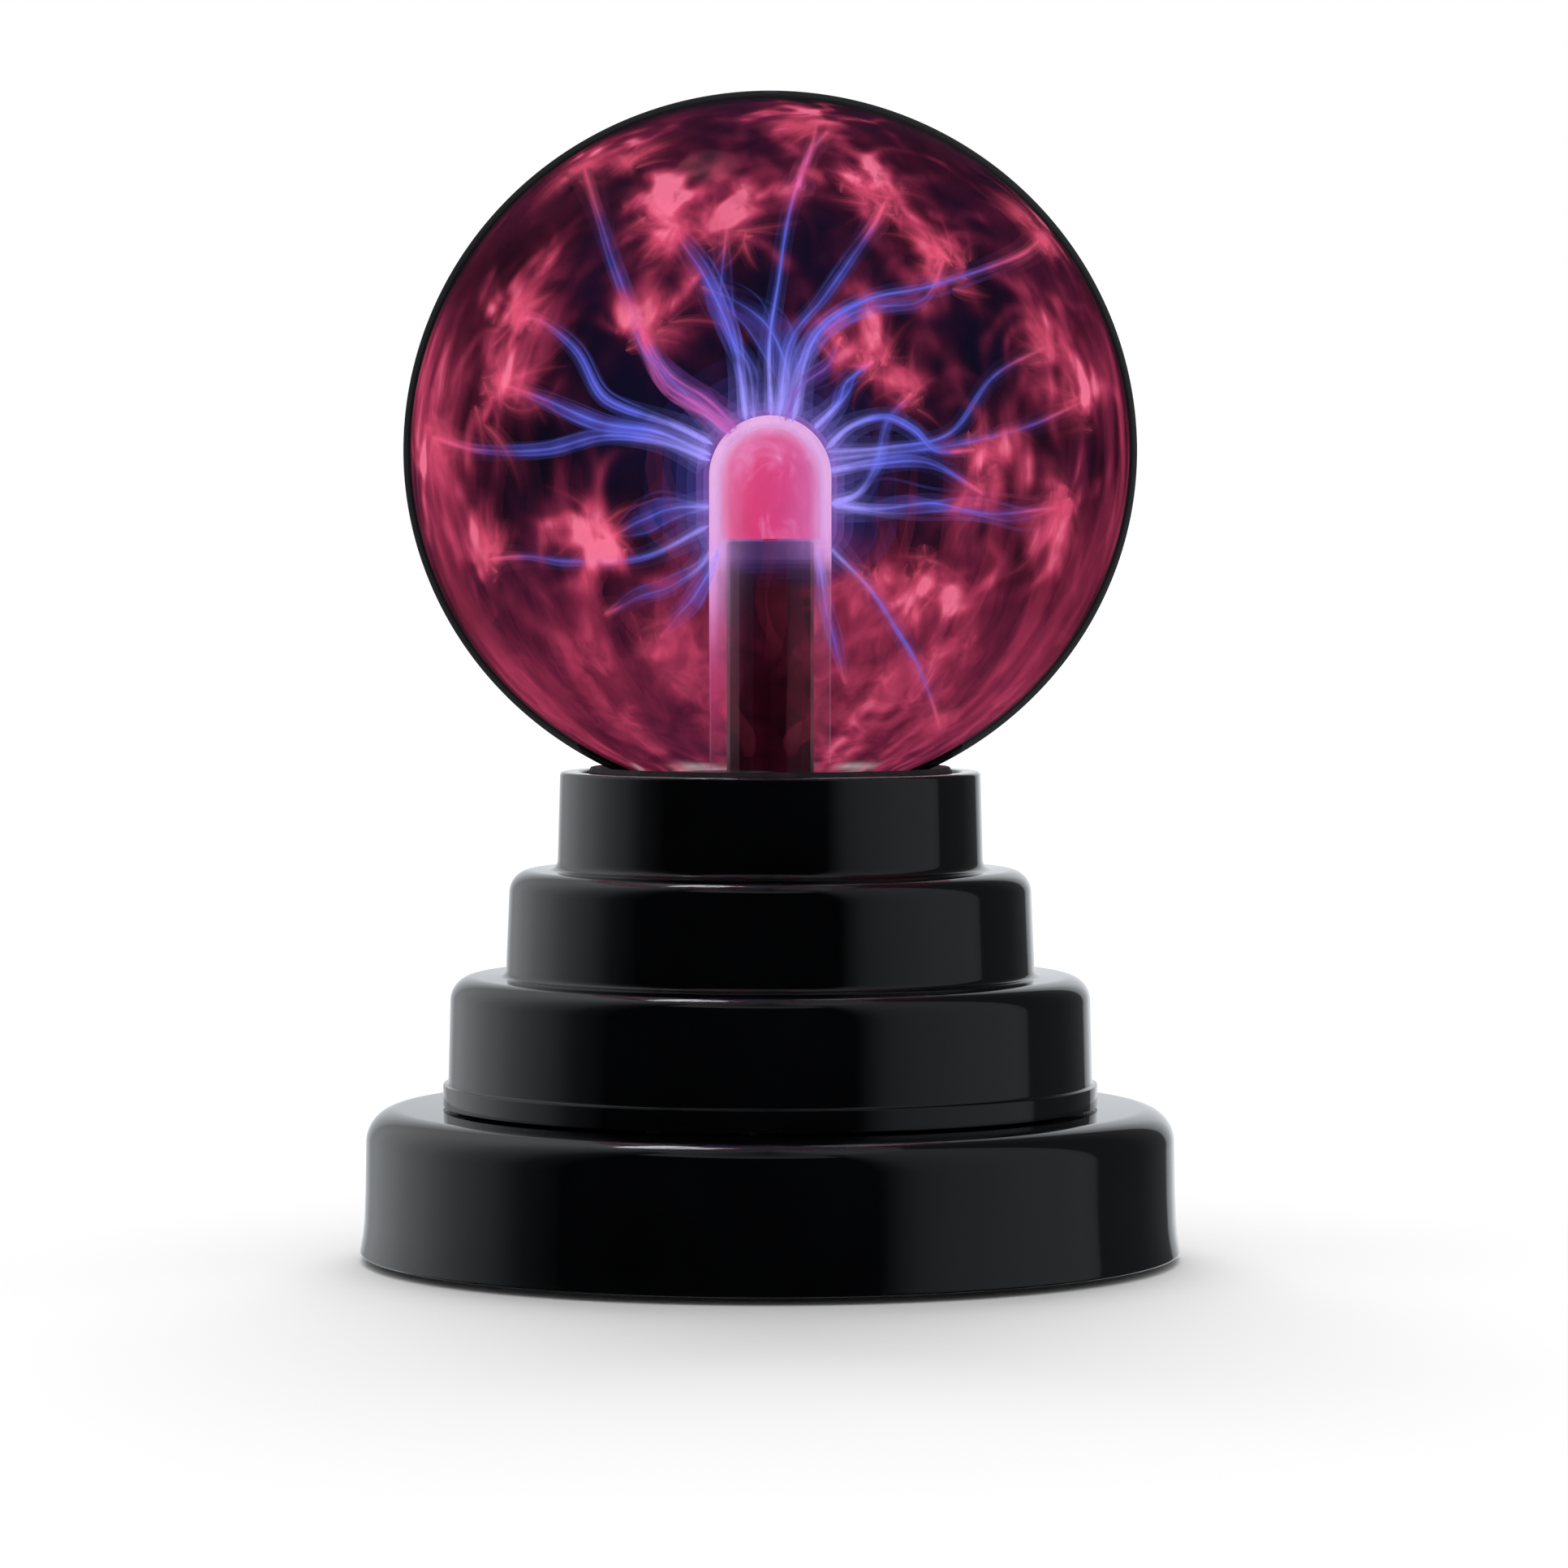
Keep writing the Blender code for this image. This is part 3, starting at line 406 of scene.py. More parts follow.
def paintedDarkFinish(name, look):
    # painted shade: near black emission with a faint painted blue glow, seen only from inside the globe
    mat, tree = newTree(name)
    where = put(tree, "ShaderNodeTexCoord").outputs["Object"]
    cloud = put(tree, "ShaderNodeTexNoise", Vector=where, Scale=look["cloud"], Detail=3.0, Roughness=0.5)
    colour = colourRamp(tree, cloud.outputs["Fac"], [(0.35, look["tones"][0]), (0.75, look["tones"][1])])
    dark = put(tree, "ShaderNodeEmission", Color=colour, Strength=1.0)
    clear = put(tree, "ShaderNodeBsdfTransparent", Color=(1, 1, 1, 1))
    side = put(tree, "ShaderNodeNewGeometry").outputs["Backfacing"]
    shader = put(tree, "ShaderNodeMixShader", n0=side, n1=dark.outputs[0], n2=clear.outputs[0])
    surface(tree, shader.outputs[0])
    mat.use_backface_culling = True
    return mat


outside = globeSide(globe, 0.0, globe["rings"])
inside = globeSide(globe, globe["wall"], globe["rings"])
neckLow = globe["neckEnd"]
glassOutline = [*outside, (globe["neck"], neckLow), (globe["neck"] - globe["wall"], neckLow), *reversed(inside)]
globeGlass = glassFinish("globeGlass", {
    "ripple": 40, "mirror": [(0.0, (0.0005,) * 3), (0.7, (0.0015,) * 3), (1.0, (0.03,) * 3)],
    "edge": [(0.0, (0.99, 0.98, 0.99)), (0.74, (0.95, 0.94, 0.96)), (0.83, (0.06, 0.06, 0.065)),
             (1.0, (0.003, 0.003, 0.004))],
})


def markOuter(mesh, limit):
    # 1 on the outer wall and 0 on the inner one; limit gives the radius between them at a height
    layer = mesh.attributes.new("outer", "FLOAT", "POINT")
    values = [1.0 if math.hypot(v.co.x, v.co.y) > limit(v.co.z / mm) * mm else 0.0 for v in mesh.vertices]
    layer.data.foreach_set("value", values)


def betweenWalls(outline):
    # radius half way into the wall, by height
    places = sorted((z, r) for r, z in outline)
    heights, radii = zip(*places)
    return lambda z: float(np.interp(z, heights, radii))


glassMesh = spunMesh("globeGlass", glassOutline, globe["turns"])
markOuter(glassMesh, betweenWalls([*globeSide(globe, globe["wall"] / 2, 300), (12.5, 38.0)]))
glassPiece = addPiece("globeGlass", glassMesh, globeGlass, ["glass_globe"])
glassPiece.visible_glossy = False  # its dark edge would hide the room from the polished base
# painted shade inside the globe: a dark sheet just inside the glass, with a faint painted blue glow
paintedDarkMaterial = paintedDarkFinish("paintedGlobeDark", {
    "cloud": 45, "tones": ((0.0024, 0.0024, 0.0050), (0.0050, 0.0048, 0.022)),
})
paintedDarkOutline = [*globeSide(globe, 0.5, 90), (globe["neck"] - 0.5, 44.0)]
paintedDarkPiece = addPiece("paintedGlobeDark", spunMesh("paintedGlobeDark", paintedDarkOutline, 192, loop=False, inwards=True),
                       paintedDarkMaterial)
paintedDarkPiece.visible_glossy = False  # the base mirrors the room through the clear globe
print("globe blown")


# the discharge: light between the electrode and the glass
# paths are laid in (x, z) mm from the globe's middle; side -1 ends on the front glass, 1 on the back

discharge = {
    "reach": 38.5, "squash": 0.975, "seed": 11, "coreRadius": 0.10, "hairRadius": 0.09, "hairs": 3,
    "strandSteps": 34, "threadRadius": 0.15, "threadCount": 34, "curtainCount": 110,
}
streamers = [
    {"via": [(-2.6, 3.2), (-3.8, 11.0), (-6.2, 16.9), (-10.9, 23.9)], "side": -1, "light": 1.2, "veil": 3.8},
    {"via": [(-1.8, 3.4), (-2.4, 9.5), (-5.6, 15.5), (-5.0, 26.0)], "side": 1, "light": 0.65, "veil": 4.6},
    {"via": [(-4.4, 1.8), (-8.6, 5.6), (-12.6, 10.0), (-16.3, 18.7), (-18.1, 24.1), (-20.0, 30.4)], "side": -1,
     "light": 0.75, "veil": 1.2},
    {"via": [(0.1, 3.8), (-0.1, 12.2), (1.0, 19.9), (2.4, 27.7), (4.6, 34.0), (5.1, 36.3)], "side": 1,
     "light": 1.1, "veil": 0.9, "pinkFrom": 0.68},
    {"via": [(3.0, 29.0), (4.4, 33.0), (6.4, 35.6)], "side": 1, "light": 1.0, "veil": 0.9, "leastPink": 0.86},
    {"via": [(-4.2, 1.9), (-7.2, 4.4), (-10.6, 6.6), (-12.4, 9.4), (-13.4, 12.6)], "side": -1, "light": 1.5,
     "veil": 1.6, "leastPink": 0.80},
    {"via": [(-3.6, 2.4), (-6.6, 5.4), (-10.8, 8.0), (-13.2, 12.0)], "side": -1, "light": 1.2, "veil": 2.4,
     "leastPink": 0.78},
    {"via": [(1.6, 3.2), (3.2, 6.4), (6.0, 8.6), (7.4, 11.2)], "side": -1, "light": 0.8, "veil": 1.6,
     "leastPink": 0.70},
    {"via": [(1.0, 3.6), (2.1, 11.6), (5.7, 16.3), (10.2, 22.2), (12.2, 25.9)], "side": -1, "light": 0.95,
     "veil": 1.7},
    {"via": [(1.6, 3.4), (3.6, 10.6), (9.4, 15.9), (17.0, 17.3), (19.6, 22.2)], "side": 1, "light": 0.6, "veil": 1.6},
    {"via": [(2.4, 3.0), (4.8, 12.2), (10.5, 16.3), (17.6, 17.8), (26.6, 20.8), (29.3, 22.9)], "side": -1,
     "light": 1.0, "veil": 1.9},
    {"via": [(6.0, 0.2), (8.7, 2.6), (12.3, 3.5), (15.3, 2.0), (17.6, -0.4), (21.5, -0.4)], "side": -1,
     "light": 1.2, "veil": 0.7},
    {"via": [(4.8, 2.6), (7.5, 5.6), (8.7, 8.3), (11.7, 11.0)], "side": 1, "light": 1.25, "veil": 3.2},
    {"via": [(6.2, -2.1), (11.7, -1.3), (17.6, -1.0), (24.2, -4.2)], "side": 1, "light": 0.9, "veil": 1.5},
    {"via": [(6.5, -5.7), (9.6, -4.5), (11.7, -1.0), (13.2, 3.8), (16.2, 7.4)], "side": 1, "light": 0.8, "veil": 0.8},
    {"via": [(6.3, -5.7), (11.7, -6.3), (17.6, -5.7), (23.6, -6.9), (30.5, -6.3)], "side": -1, "light": 0.85,
     "veil": 5.0},
    {"via": [(6.0, 0.0), (13.0, 0.6), (20.0, 2.2), (24.8, 8.6), (31.1, 12.2)], "side": 1, "light": 0.6, "veil": 0.8},
    {"via": [(6.2, -1.0), (18.0, 0.4), (27.0, 2.2), (33.4, 5.0)], "side": -1, "light": 0.45, "veil": 0.9},
    {"via": [(-6.4, -0.4), (-12.2, 2.0), (-18.1, 2.9), (-24.1, 5.3), (-28.5, 6.8)], "side": -1, "light": 1.2,
     "veil": 1.6},
    {"via": [(-6.2, 0.8), (-11.0, 3.2), (-16.3, 5.0), (-19.0, 6.8), (-21.7, 11.6), (-25.9, 15.1), (-28.8, 15.1)],
     "side": 1, "light": 1.0, "veil": 0.9},
    {"via": [(-6.5, -1.0), (-12.2, 1.1), (-18.1, 1.7), (-24.1, 0.2), (-31.2, 0.0), (-36.4, 1.4)], "side": -1,
     "light": 1.0, "veil": 1.3},
    {"via": [(-6.6, -6.0), (-11.0, -6.4), (-16.3, -9.3)], "side": -1, "light": 0.8, "veil": 4.8},
    {"via": [(-6.6, -8.0), (-14.0, -11.5), (-22.0, -11.9), (-27.0, -11.4), (-31.8, -11.7)], "side": 1,
     "light": 0.55, "veil": 0.8},
    {"via": [(-5.4, -10.3), (-7.4, -14.7), (-11.5, -20.0)], "side": -1, "light": 0.6, "veil": 2.4},
    {"via": [(-5.8, -10.0), (-9.0, -13.4), (-19.0, -18.0)], "side": 1, "light": 0.4, "veil": 2.4},
    {"via": [(5.2, -10.4), (6.3, -17.6), (8.5, -26.0)], "side": 1, "light": 0.6, "veil": 1.8},
    {"via": [(6.2, -10.2), (11.7, -15.9), (15.3, -21.8), (17.6, -27.8), (18.2, -30.0)], "side": -1,
     "light": 0.6, "veil": 0.9},
    {"via": [(0.6, 3.7), (2.0, 9.0), (-2.0, 16.0), (-8.0, 19.5)], "side": 1, "light": 0.65, "veil": 5.0},
]
# tufts on the glass: where they sit, how bright and wide, and the heading of the longest threads
tufts = [
    {"at": (-11.2, 24.6), "side": -1, "power": 1.45, "size": 1.0, "heading": 115},
    {"at": (-10.0, 22.2), "side": -1, "power": 1.0, "size": 0.7, "heading": 300},
    {"at": (-5.0, 25.6), "side": 1, "power": 0.75, "size": 1.35, "heading": 80},
    {"at": (-15.5, 32.6), "side": 1, "power": 0.65, "size": 0.9, "heading": 30},
    {"at": (-20.4, 30.2), "side": -1, "power": 0.75, "size": 1.2, "heading": 60},
    {"at": (4.9, 36.5), "side": 1, "power": 1.25, "size": 1.1, "heading": 0},
    {"at": (12.2, 26.3), "side": -1, "power": 1.25, "size": 1.1, "heading": 70},
    {"at": (19.6, 22.6), "side": 1, "power": 1.15, "size": 1.2, "heading": 60},
    {"at": (29.3, 23.0), "side": -1, "power": 1.05, "size": 1.2, "heading": 130},
    {"at": (-28.8, 15.2), "side": 1, "power": 1.15, "size": 1.1, "heading": 95},
    {"at": (-28.6, 6.9), "side": -1, "power": 1.2, "size": 1.2, "heading": 165},
    {"at": (-36.2, 1.4), "side": -1, "power": 1.0, "size": 1.3, "heading": 250},
    {"at": (-17.0, -9.2), "side": -1, "power": 1.4, "size": 1.0, "heading": 335},
    {"at": (-31.8, -11.7), "side": 1, "power": 0.9, "size": 1.0, "heading": 90},
    {"at": (-13.2, 12.2), "side": -1, "power": 0.85, "size": 0.9, "heading": 110},
    {"at": (11.7, 11.2), "side": 1, "power": 1.0, "size": 1.0, "heading": 70},
    {"at": (16.2, 7.5), "side": 1, "power": 0.75, "size": 0.8, "heading": 40},
    {"at": (21.7, -0.4), "side": -1, "power": 1.05, "size": 0.9, "heading": 190},
    {"at": (24.2, -4.2), "side": 1, "power": 0.6, "size": 0.9, "heading": 300},
    {"at": (31.1, 12.3), "side": 1, "power": 0.95, "size": 1.0, "heading": 80},
    {"at": (33.4, 5.1), "side": -1, "power": 0.9, "size": 1.1, "heading": 60},
    {"at": (30.6, -6.3), "side": -1, "power": 1.25, "size": 1.2, "heading": 270},
    {"at": (17.2, -14.0), "side": 1, "power": 0.9, "size": 1.2, "heading": 265},
    {"at": (10.2, -13.8), "side": -1, "power": 0.6, "size": 0.8, "heading": 280},
    {"at": (18.0, -29.0), "side": -1, "power": 0.35, "size": 1.0, "heading": 270},
    {"at": (-11.5, -20.0), "side": -1, "power": 0.3, "size": 1.2, "heading": 250},
]
dice = np.random.default_rng(discharge["seed"])
middle = np.array([0, 0, globe["centre"]])


def ease(value, low, high):
    t = np.clip((value - low) / (high - low), 0, 1)
    return t * t * (3 - 2 * t)


def unitOf(azimuth, elevation):
    a, e = math.radians(azimuth), math.radians(elevation)
    return np.array([math.sin(a) * math.cos(e), -math.cos(a) * math.cos(e), math.sin(e)])


def glassPlace(at, side):
    # the point of the glass at this x and height, on the front or the back
    x, z = at
    depth = math.sqrt(max(discharge["reach"] ** 2 - x * x - (z / discharge["squash"]) ** 2, 1.0))
    return np.array([x, side * depth, z])


def across(direction):
    # two directions along the glass: sideways and upwards
    side = np.cross(direction, (0.0, 0.0, 1.0))
    side /= np.linalg.norm(side)
    return side, np.cross(side, direction)


def smoothPath(points, count):
    # an even run of points on a curve through these ones
    points = np.asarray(points, float)
    padded = np.concatenate([[2 * points[0] - points[1]], points, [2 * points[-1] - points[-2]]])
    dense = []
    for a, b, c, d in zip(padded, padded[1:], padded[2:], padded[3:]):
        t = np.linspace(0, 1, 24, endpoint=False)[:, None]
        dense.append(0.5 * (2 * b + (c - a) * t + (2 * a - 5 * b + 4 * c - d) * t ** 2 + (3 * b - a - 3 * c + d) * t ** 3))
    dense = np.concatenate([*dense, points[-1:]])
    along = np.concatenate([[0], np.cumsum(np.linalg.norm(np.diff(dense, axis=0), axis=1))])
    even = np.linspace(0, along[-1], count)
    return np.stack([np.interp(even, along, dense[:, k]) for k in range(3)], 1)


def newBatch():
    return {"points": [], "faces": [], "hue": [], "glow": [], "count": 0}


def addPart(batch, points, hue, glow, faces):
    batch["points"].append(points)
    batch["hue"].append(hue)
    batch["glow"].append(glow)
    batch["faces"] += [tuple(batch["count"] + i for i in face) for face in faces]
    batch["count"] += len(points)


def addTube(batch, path, radii, hues, glows, sides=6):
    count = len(path)
    along = np.gradient(path, axis=0)
    along /= np.linalg.norm(along, axis=1)[:, None]
    normal = np.cross(along[0], (0.3, 0.9, 0.2))
    normal /= np.linalg.norm(normal)
    turns = np.arange(sides) * math.tau / sides
    points = [path[:1]]
    for i in range(1, count - 1):
        normal = normal - along[i] * np.dot(normal, along[i])
        normal /= np.linalg.norm(normal)
        ring = np.cos(turns)[:, None] * normal + np.sin(turns)[:, None] * np.cross(along[i], normal)
        points.append(path[i] + ring * radii[i])
    points.append(path[-1:])
    hue = np.concatenate([hues[:1], np.repeat(hues[1:-1], sides), hues[-1:]])
    glow = np.concatenate([glows[:1], np.repeat(glows[1:-1], sides), glows[-1:]])
    last = 1 + (count - 2) * sides
    faces = []
    for k in range(sides):
        after = (k + 1) % sides
        faces.append((0, 1 + after, 1 + k))
        faces.append((last - sides + k, last - sides + after, last))
        for low in range(1, last - sides, sides):
            faces.append((low + k, low + after, low + sides + after, low + sides + k))
    addPart(batch, np.concatenate(points), hue, glow, faces)


def addVeil(batch, first, second, hues, glows, columns=5):
    # a thin curtain of light between two strands
    count = len(first)
    points = np.concatenate([first * (1 - s) + second * s for s in np.linspace(0, 1, columns)])
    faces = [
        (j * count + i, j * count + i + 1, (j + 1) * count + i + 1, (j + 1) * count + i)
        for j in range(columns - 1) for i in range(count - 1)
    ]
    addPart(batch, points, np.tile(hues, columns), np.tile(glows, columns), faces)


def batchMesh(name, batch):
    mesh = bpy.data.meshes.new(name)
    mesh.from_pydata((np.concatenate(batch["points"]) * mm).tolist(), [], batch["faces"])
    for key in ("hue", "glow"):
        layer = mesh.attributes.new(key, "FLOAT", "POINT")
        layer.data.foreach_set("value", np.concatenate(batch[key]).astype(np.float32))
    mesh.shade_smooth()
    return mesh


def layStreamer(streamer, strandBatch, veilBatch):
    side = streamer["side"]
    via = streamer["via"]
    end = glassPlace(via[-1], side)
    lengths = [0.0]
    for (ax, az), (bx, bz) in zip(via, via[1:]):
        lengths.append(lengths[-1] + math.hypot(bx - ax, bz - az))
    x, z = via[0]
    startDepth = side * 0.75 * math.sqrt(max(6.3 ** 2 - x * x, 1.0))
    points = []
    for (x, z), length in zip(via, lengths):
        share = length / lengths[-1]
        depth = startDepth + (end[1] - startDepth) * (0.35 * share + 0.65 * share ** 1.6)
        points.append(np.array([x, depth, z]))
    points[-1] = end
    count = discharge["strandSteps"]
    path = smoothPath(points, count) + middle
    t = np.linspace(0, 1, count)
    belly = np.sin(t * math.pi)[:, None]
    wander = dice.normal(0, 1, 3)
    wander -= np.array([0, wander[1] * 0.4, 0])
    wander /= np.linalg.norm(wander)
    shake = sum(np.sin(t * k * math.pi + dice.uniform(0, 6))[:, None] * dice.normal(0, 1, 3) / k for k in (2, 3, 5))
    light = streamer["light"]
    pink = streamer.get("pinkFrom", 0.82)
    hues = np.clip(0.03 + 0.55 * t ** 1.5 + 0.45 * ease(t, pink - 0.22, pink + 0.12), streamer.get("leastPink", 0), 1)
    swell = 0.75 + 0.9 * np.exp(-t * 7) + 0.9 * t ** 8
    fade = (1 - 0.5 * t) * light
    laid = []
    for offset, strength in ((0.0, 1.0), (0.55, 0.38), (-0.6, 0.0)):
        bowed = path + wander * offset * streamer["veil"] * belly + shake * 0.16 * belly
        laid.append(bowed)
        for radius, glow in ((1.0, 0.50), (2.6, 0.20), (6.0, 0.085), (14.0, 0.040)):
            if strength and (radius < 8 or strength > 0.9):
                addTube(strandBatch, bowed, discharge["coreRadius"] * radius * swell, hues, glow * strength * fade,
                        6 if radius < 2 else 8)
    for _ in range(discharge["hairs"]):
        lean = wander * dice.uniform(-0.9, 0.9) + dice.normal(0, 0.22, 3)
        loose = path + lean * streamer["veil"] * (belly + 0.35 * t[:, None] ** 2) + shake * 0.3 * belly
        thin = discharge["hairRadius"] * dice.uniform(1.0, 3.2)
        addTube(strandBatch, loose, thin * swell, hues, dice.uniform(0.04, 0.15) * fade, 6)
    dim = 0.46 * light * (1 - t) ** 0.7 * (0.35 + 0.65 * belly[:, 0])
    addVeil(veilBatch, laid[0], laid[1], hues * 0.85, dim)
    addVeil(veilBatch, laid[0], laid[2], hues * 0.85, dim * 0.8)


strandBatch, veilBatch, threadBatch = newBatch(), newBatch(), newBatch()
for streamer in streamers:
    layStreamer(streamer, strandBatch, veilBatch)


# threads of light that spread over the glass from each tuft, and long faint ones down the glass

def threadPath(direction, heading, length, curl, count=9, lift=0.0):
    side, up = across(direction)
    turn = heading + curl * np.linspace(0, 1, count)
    stride = np.stack([np.cos(turn), np.sin(turn)], 1) * length / count
    walk = np.cumsum(stride, axis=0) - stride[:1]
    spots = direction + walk[:, :1] * side + walk[:, 1:] * up
    spots /= np.linalg.norm(spots, axis=1)[:, None]
    height = discharge["reach"] - lift * np.linspace(0, 1, count)[:, None]
    return middle + spots * height * np.array([1, 1, discharge["squash"]])


for tuft in tufts:
    place = glassPlace(tuft["at"], tuft["side"])
    direction = place / np.linalg.norm(place)
    tuft["direction"] = direction
    # seen from inside the globe's front, sideways runs the other way
    turnSign = 1 if tuft["side"] < 0 else -1
    for k in range(discharge["threadCount"]):
        along = math.radians(tuft["heading"]) + dice.normal(0, 0.6 if k % 2 else 1.5)
        heading = math.atan2(math.sin(along), math.cos(along) * turnSign)
        length = tuft["size"] * dice.uniform(0.05, 0.22) * (1.35 if k % 2 else 0.9)
        offset = dice.normal(0, 0.034 * tuft["size"], 3)
        begin = direction + offset
        begin /= np.linalg.norm(begin)
        path = threadPath(begin, heading, length, dice.normal(0, 0.9), lift=dice.uniform(-0.1, 1.6))
        t = np.linspace(0, 1, len(path))
        shape = 0.30 + np.sin(np.clip(t, 0, 1) * math.pi) ** 0.6 * (1.1 - 0.6 * t)
        glow = (1 - t) ** 1.1 * dice.uniform(0.2, 1.0) * min(tuft["power"], 1.3) + 0.01
        thick = discharge["threadRadius"] * dice.uniform(0.6, 1.5)
        for radius, share in ((1.0, 0.15), (2.6, 0.075), (5.5, 0.035)):
            addTube(threadBatch, path, thick * radius * shape, 0.85 + 0.15 * t, glow * share, 6)
for _ in range(discharge["curtainCount"]):
    azimuth = dice.uniform(-180, 180)
    top, low = dice.uniform(-40, 12), dice.uniform(-66, -30)
    bends = [unitOf(azimuth + dice.normal(0, 2.5), top + (low - top) * k / 4) for k in range(5)]
    path = smoothPath(bends, 15) * (discharge["reach"] - dice.uniform(0, 1.5)) * np.array([1, 1, 0.97]) + middle
    t = np.linspace(0, 1, 15)
    addTube(threadBatch, path, 0.25 + dice.uniform(0.3, 1.1) * np.sin(t * math.pi) ** 0.5, 1.0 - 0.05 * t,
            dice.uniform(0.010, 0.045) * np.sin(t * math.pi) ** 0.8 + 0.002, 8)


def lightFinish(name, gain, fade, stops):
    # glowing gas, clear where it is weak
    mat, tree = newTree(name)
    hue = put(tree, "ShaderNodeAttribute", {"attribute_name": "hue"}).outputs["Fac"]
    glow = put(tree, "ShaderNodeAttribute", {"attribute_name": "glow"}).outputs["Fac"]
    where = put(tree, "ShaderNodeTexCoord").outputs["Object"]
    flicker = put(tree, "ShaderNodeTexNoise", Vector=where, Scale=150.0, Detail=3.0, Distortion=0.6)
    uneven = put(tree, "ShaderNodeMapRange", Value=flicker.outputs["Fac"], From_Min=0.3, From_Max=0.68,
                 To_Min=0.35, To_Max=1.4)
    light = put(tree, "ShaderNodeEmission", Color=colourRamp(tree, hue, stops), Strength=gain)
    clear = put(tree, "ShaderNodeBsdfTransparent", Color=(1, 1, 1, 1))
    share = put(tree, "ShaderNodeMath", {"operation": "MULTIPLY", "use_clamp": True}, n0=glow,
                n1=uneven.outputs["Result"])
    share = put(tree, "ShaderNodeMath", {"operation": "MULTIPLY", "use_clamp": True}, n0=share.outputs[0], n1=fade)
    shader = put(tree, "ShaderNodeMixShader", n0=share.outputs[0], n1=clear.outputs[0], n2=light.outputs[0])
    surface(tree, shader.outputs[0])
    mat.cycles.emission_sampling = "NONE"
    return mat


strandStops = [
    (0.0, (0.46, 0.38, 1.0)), (0.12, (0.13, 0.17, 0.85)), (0.5, (0.09, 0.11, 0.60)), (0.72, (0.24, 0.09, 0.45)),
    (0.88, (0.78, 0.12, 0.32)), (1.0, (0.95, 0.13, 0.24)),
]
veilStops = [
    (0.0, (0.13, 0.12, 0.70)), (0.4, (0.04, 0.05, 0.40)), (0.75, (0.14, 0.04, 0.24)), (1.0, (0.40, 0.04, 0.12)),
]
threadStops = [(0.8, (1.0, 0.17, 0.28)), (0.9, (0.80, 0.09, 0.18)), (1.0, (0.44, 0.035, 0.09))]
addPiece("streamers", batchMesh("streamers", strandBatch), lightFinish("streamerLight", 1.25, 0.75, strandStops))
addPiece("streamerVeils", batchMesh("streamerVeils", veilBatch), lightFinish("veilLight", 1.0, 1.0, veilStops))
addPiece("glassThreads", batchMesh("glassThreads", threadBatch), lightFinish("threadLight", 1.1, 0.9, threadStops))
print("streamers:", strandBatch["count"], "veils:", veilBatch["count"], "threads:", threadBatch["count"], "points")


# glow on the inside of the glass: tufts, haze at the sides and streaks down to the neck

haze = {"rings": 260, "turns": 560, "inset": 0.8, "strokes": 26}


def waves(points, scale, count, seed):
    # smooth noise from about -1 to 1
    source = np.random.default_rng(seed)
    total = np.zeros(len(points))
    for _ in range(count):
        total += np.sin(points @ source.normal(0, scale, 3) + source.uniform(0, math.tau))
    return total / math.sqrt(count)


def hazeGlow(unit):
    source = np.random.default_rng(23)
    spread = np.zeros(len(unit))
    warp = np.stack([waves(unit, 16, 8, seed) for seed in (3, 4, 5)], 1) * 0.022
    bent = unit + warp
    bent /= np.linalg.norm(bent, axis=1)[:, None]
    ragged = np.clip(0.75 + 0.5 * waves(unit, 34, 10, 15), 0.15, 1.6)
    for tuft in tufts:
        direction, size = tuft["direction"], tuft["size"]
        side, up = across(direction)
        turnSign = 1 if tuft["side"] < 0 else -1
        near = np.flatnonzero(bent @ direction > math.cos(0.42 * size + 0.05))
        spots = bent[near]
        away = np.arccos(np.clip(spots @ direction, -1, 1)) + 1e-6
        heading = np.arctan2(spots @ up, spots @ side)
        local = 0.45 * np.exp(-(away / (0.036 * size)) ** 1.6) + 0.10 * np.exp(-(away / (0.12 * size)) ** 1.6)
        for _ in range(haze["strokes"]):
            along = math.radians(tuft["heading"]) + source.normal(0, 1.15)
            centre = math.atan2(math.sin(along), math.cos(along) * turnSign)
            length = source.uniform(0.06, 0.24) * size
            width, curl, force = source.uniform(0.008, 0.026), source.normal(0, 2.6), source.uniform(0.14, 0.62)
            gap = (heading - centre - curl * away + math.pi) % math.tau - math.pi
            stroke = np.exp(-(gap * away / (width + 0.06 * away)) ** 2) * np.exp(-(away / length) ** 2)
            local += force * stroke * ease(away, 0.0, 0.06 * size)
        spread[near] += local * tuft["power"] * ragged[near]
    x, y, z = unit.T
    azimuth = np.arctan2(x, -y)
    ring = np.stack([np.sin(azimuth), np.cos(azimuth), z * 0.22], 1)
    streaks = np.clip(0.50 + 0.42 * waves(ring, 15, 10, 5) + 0.32 * waves(ring, 34, 12, 6), 0.03, 1.7)
    patches = np.clip(0.6 + 0.5 * waves(unit, 4.5, 8, 9), 0.1, 1.4)
    sideways = np.abs(x)
    bands = ease(sideways, 0.80, 0.97) * ease(z, -0.75, -0.2) * ease(-z, -0.55, -0.15)
    bowl = ease(-z - 0.35 * sideways ** 2 + 0.0, 0.10, 0.62)
    skirts = ease(sideways, 0.45, 0.88) * ease(-z, 0.08, 0.42)
    behind = 0.14 + 0.86 * ease(y + 0.55 * sideways, -0.20, 0.30)
    ground = 0.54 * bands * streaks + 0.17 * skirts * patches * (0.4 + streaks)
    ground += 0.62 * bowl * (0.4 + 0.6 * streaks) * behind
    crown = ease(np.hypot(x, z), 0.70, 0.93) * ease(z, -0.1, 0.3)
    ground += 0.11 * crown * np.clip(0.45 + 0.60 * waves(unit, 9, 10, 31), 0.0, 1.5)
    return 1.12 * (1 - np.exp(-1.15 * spread)), ground


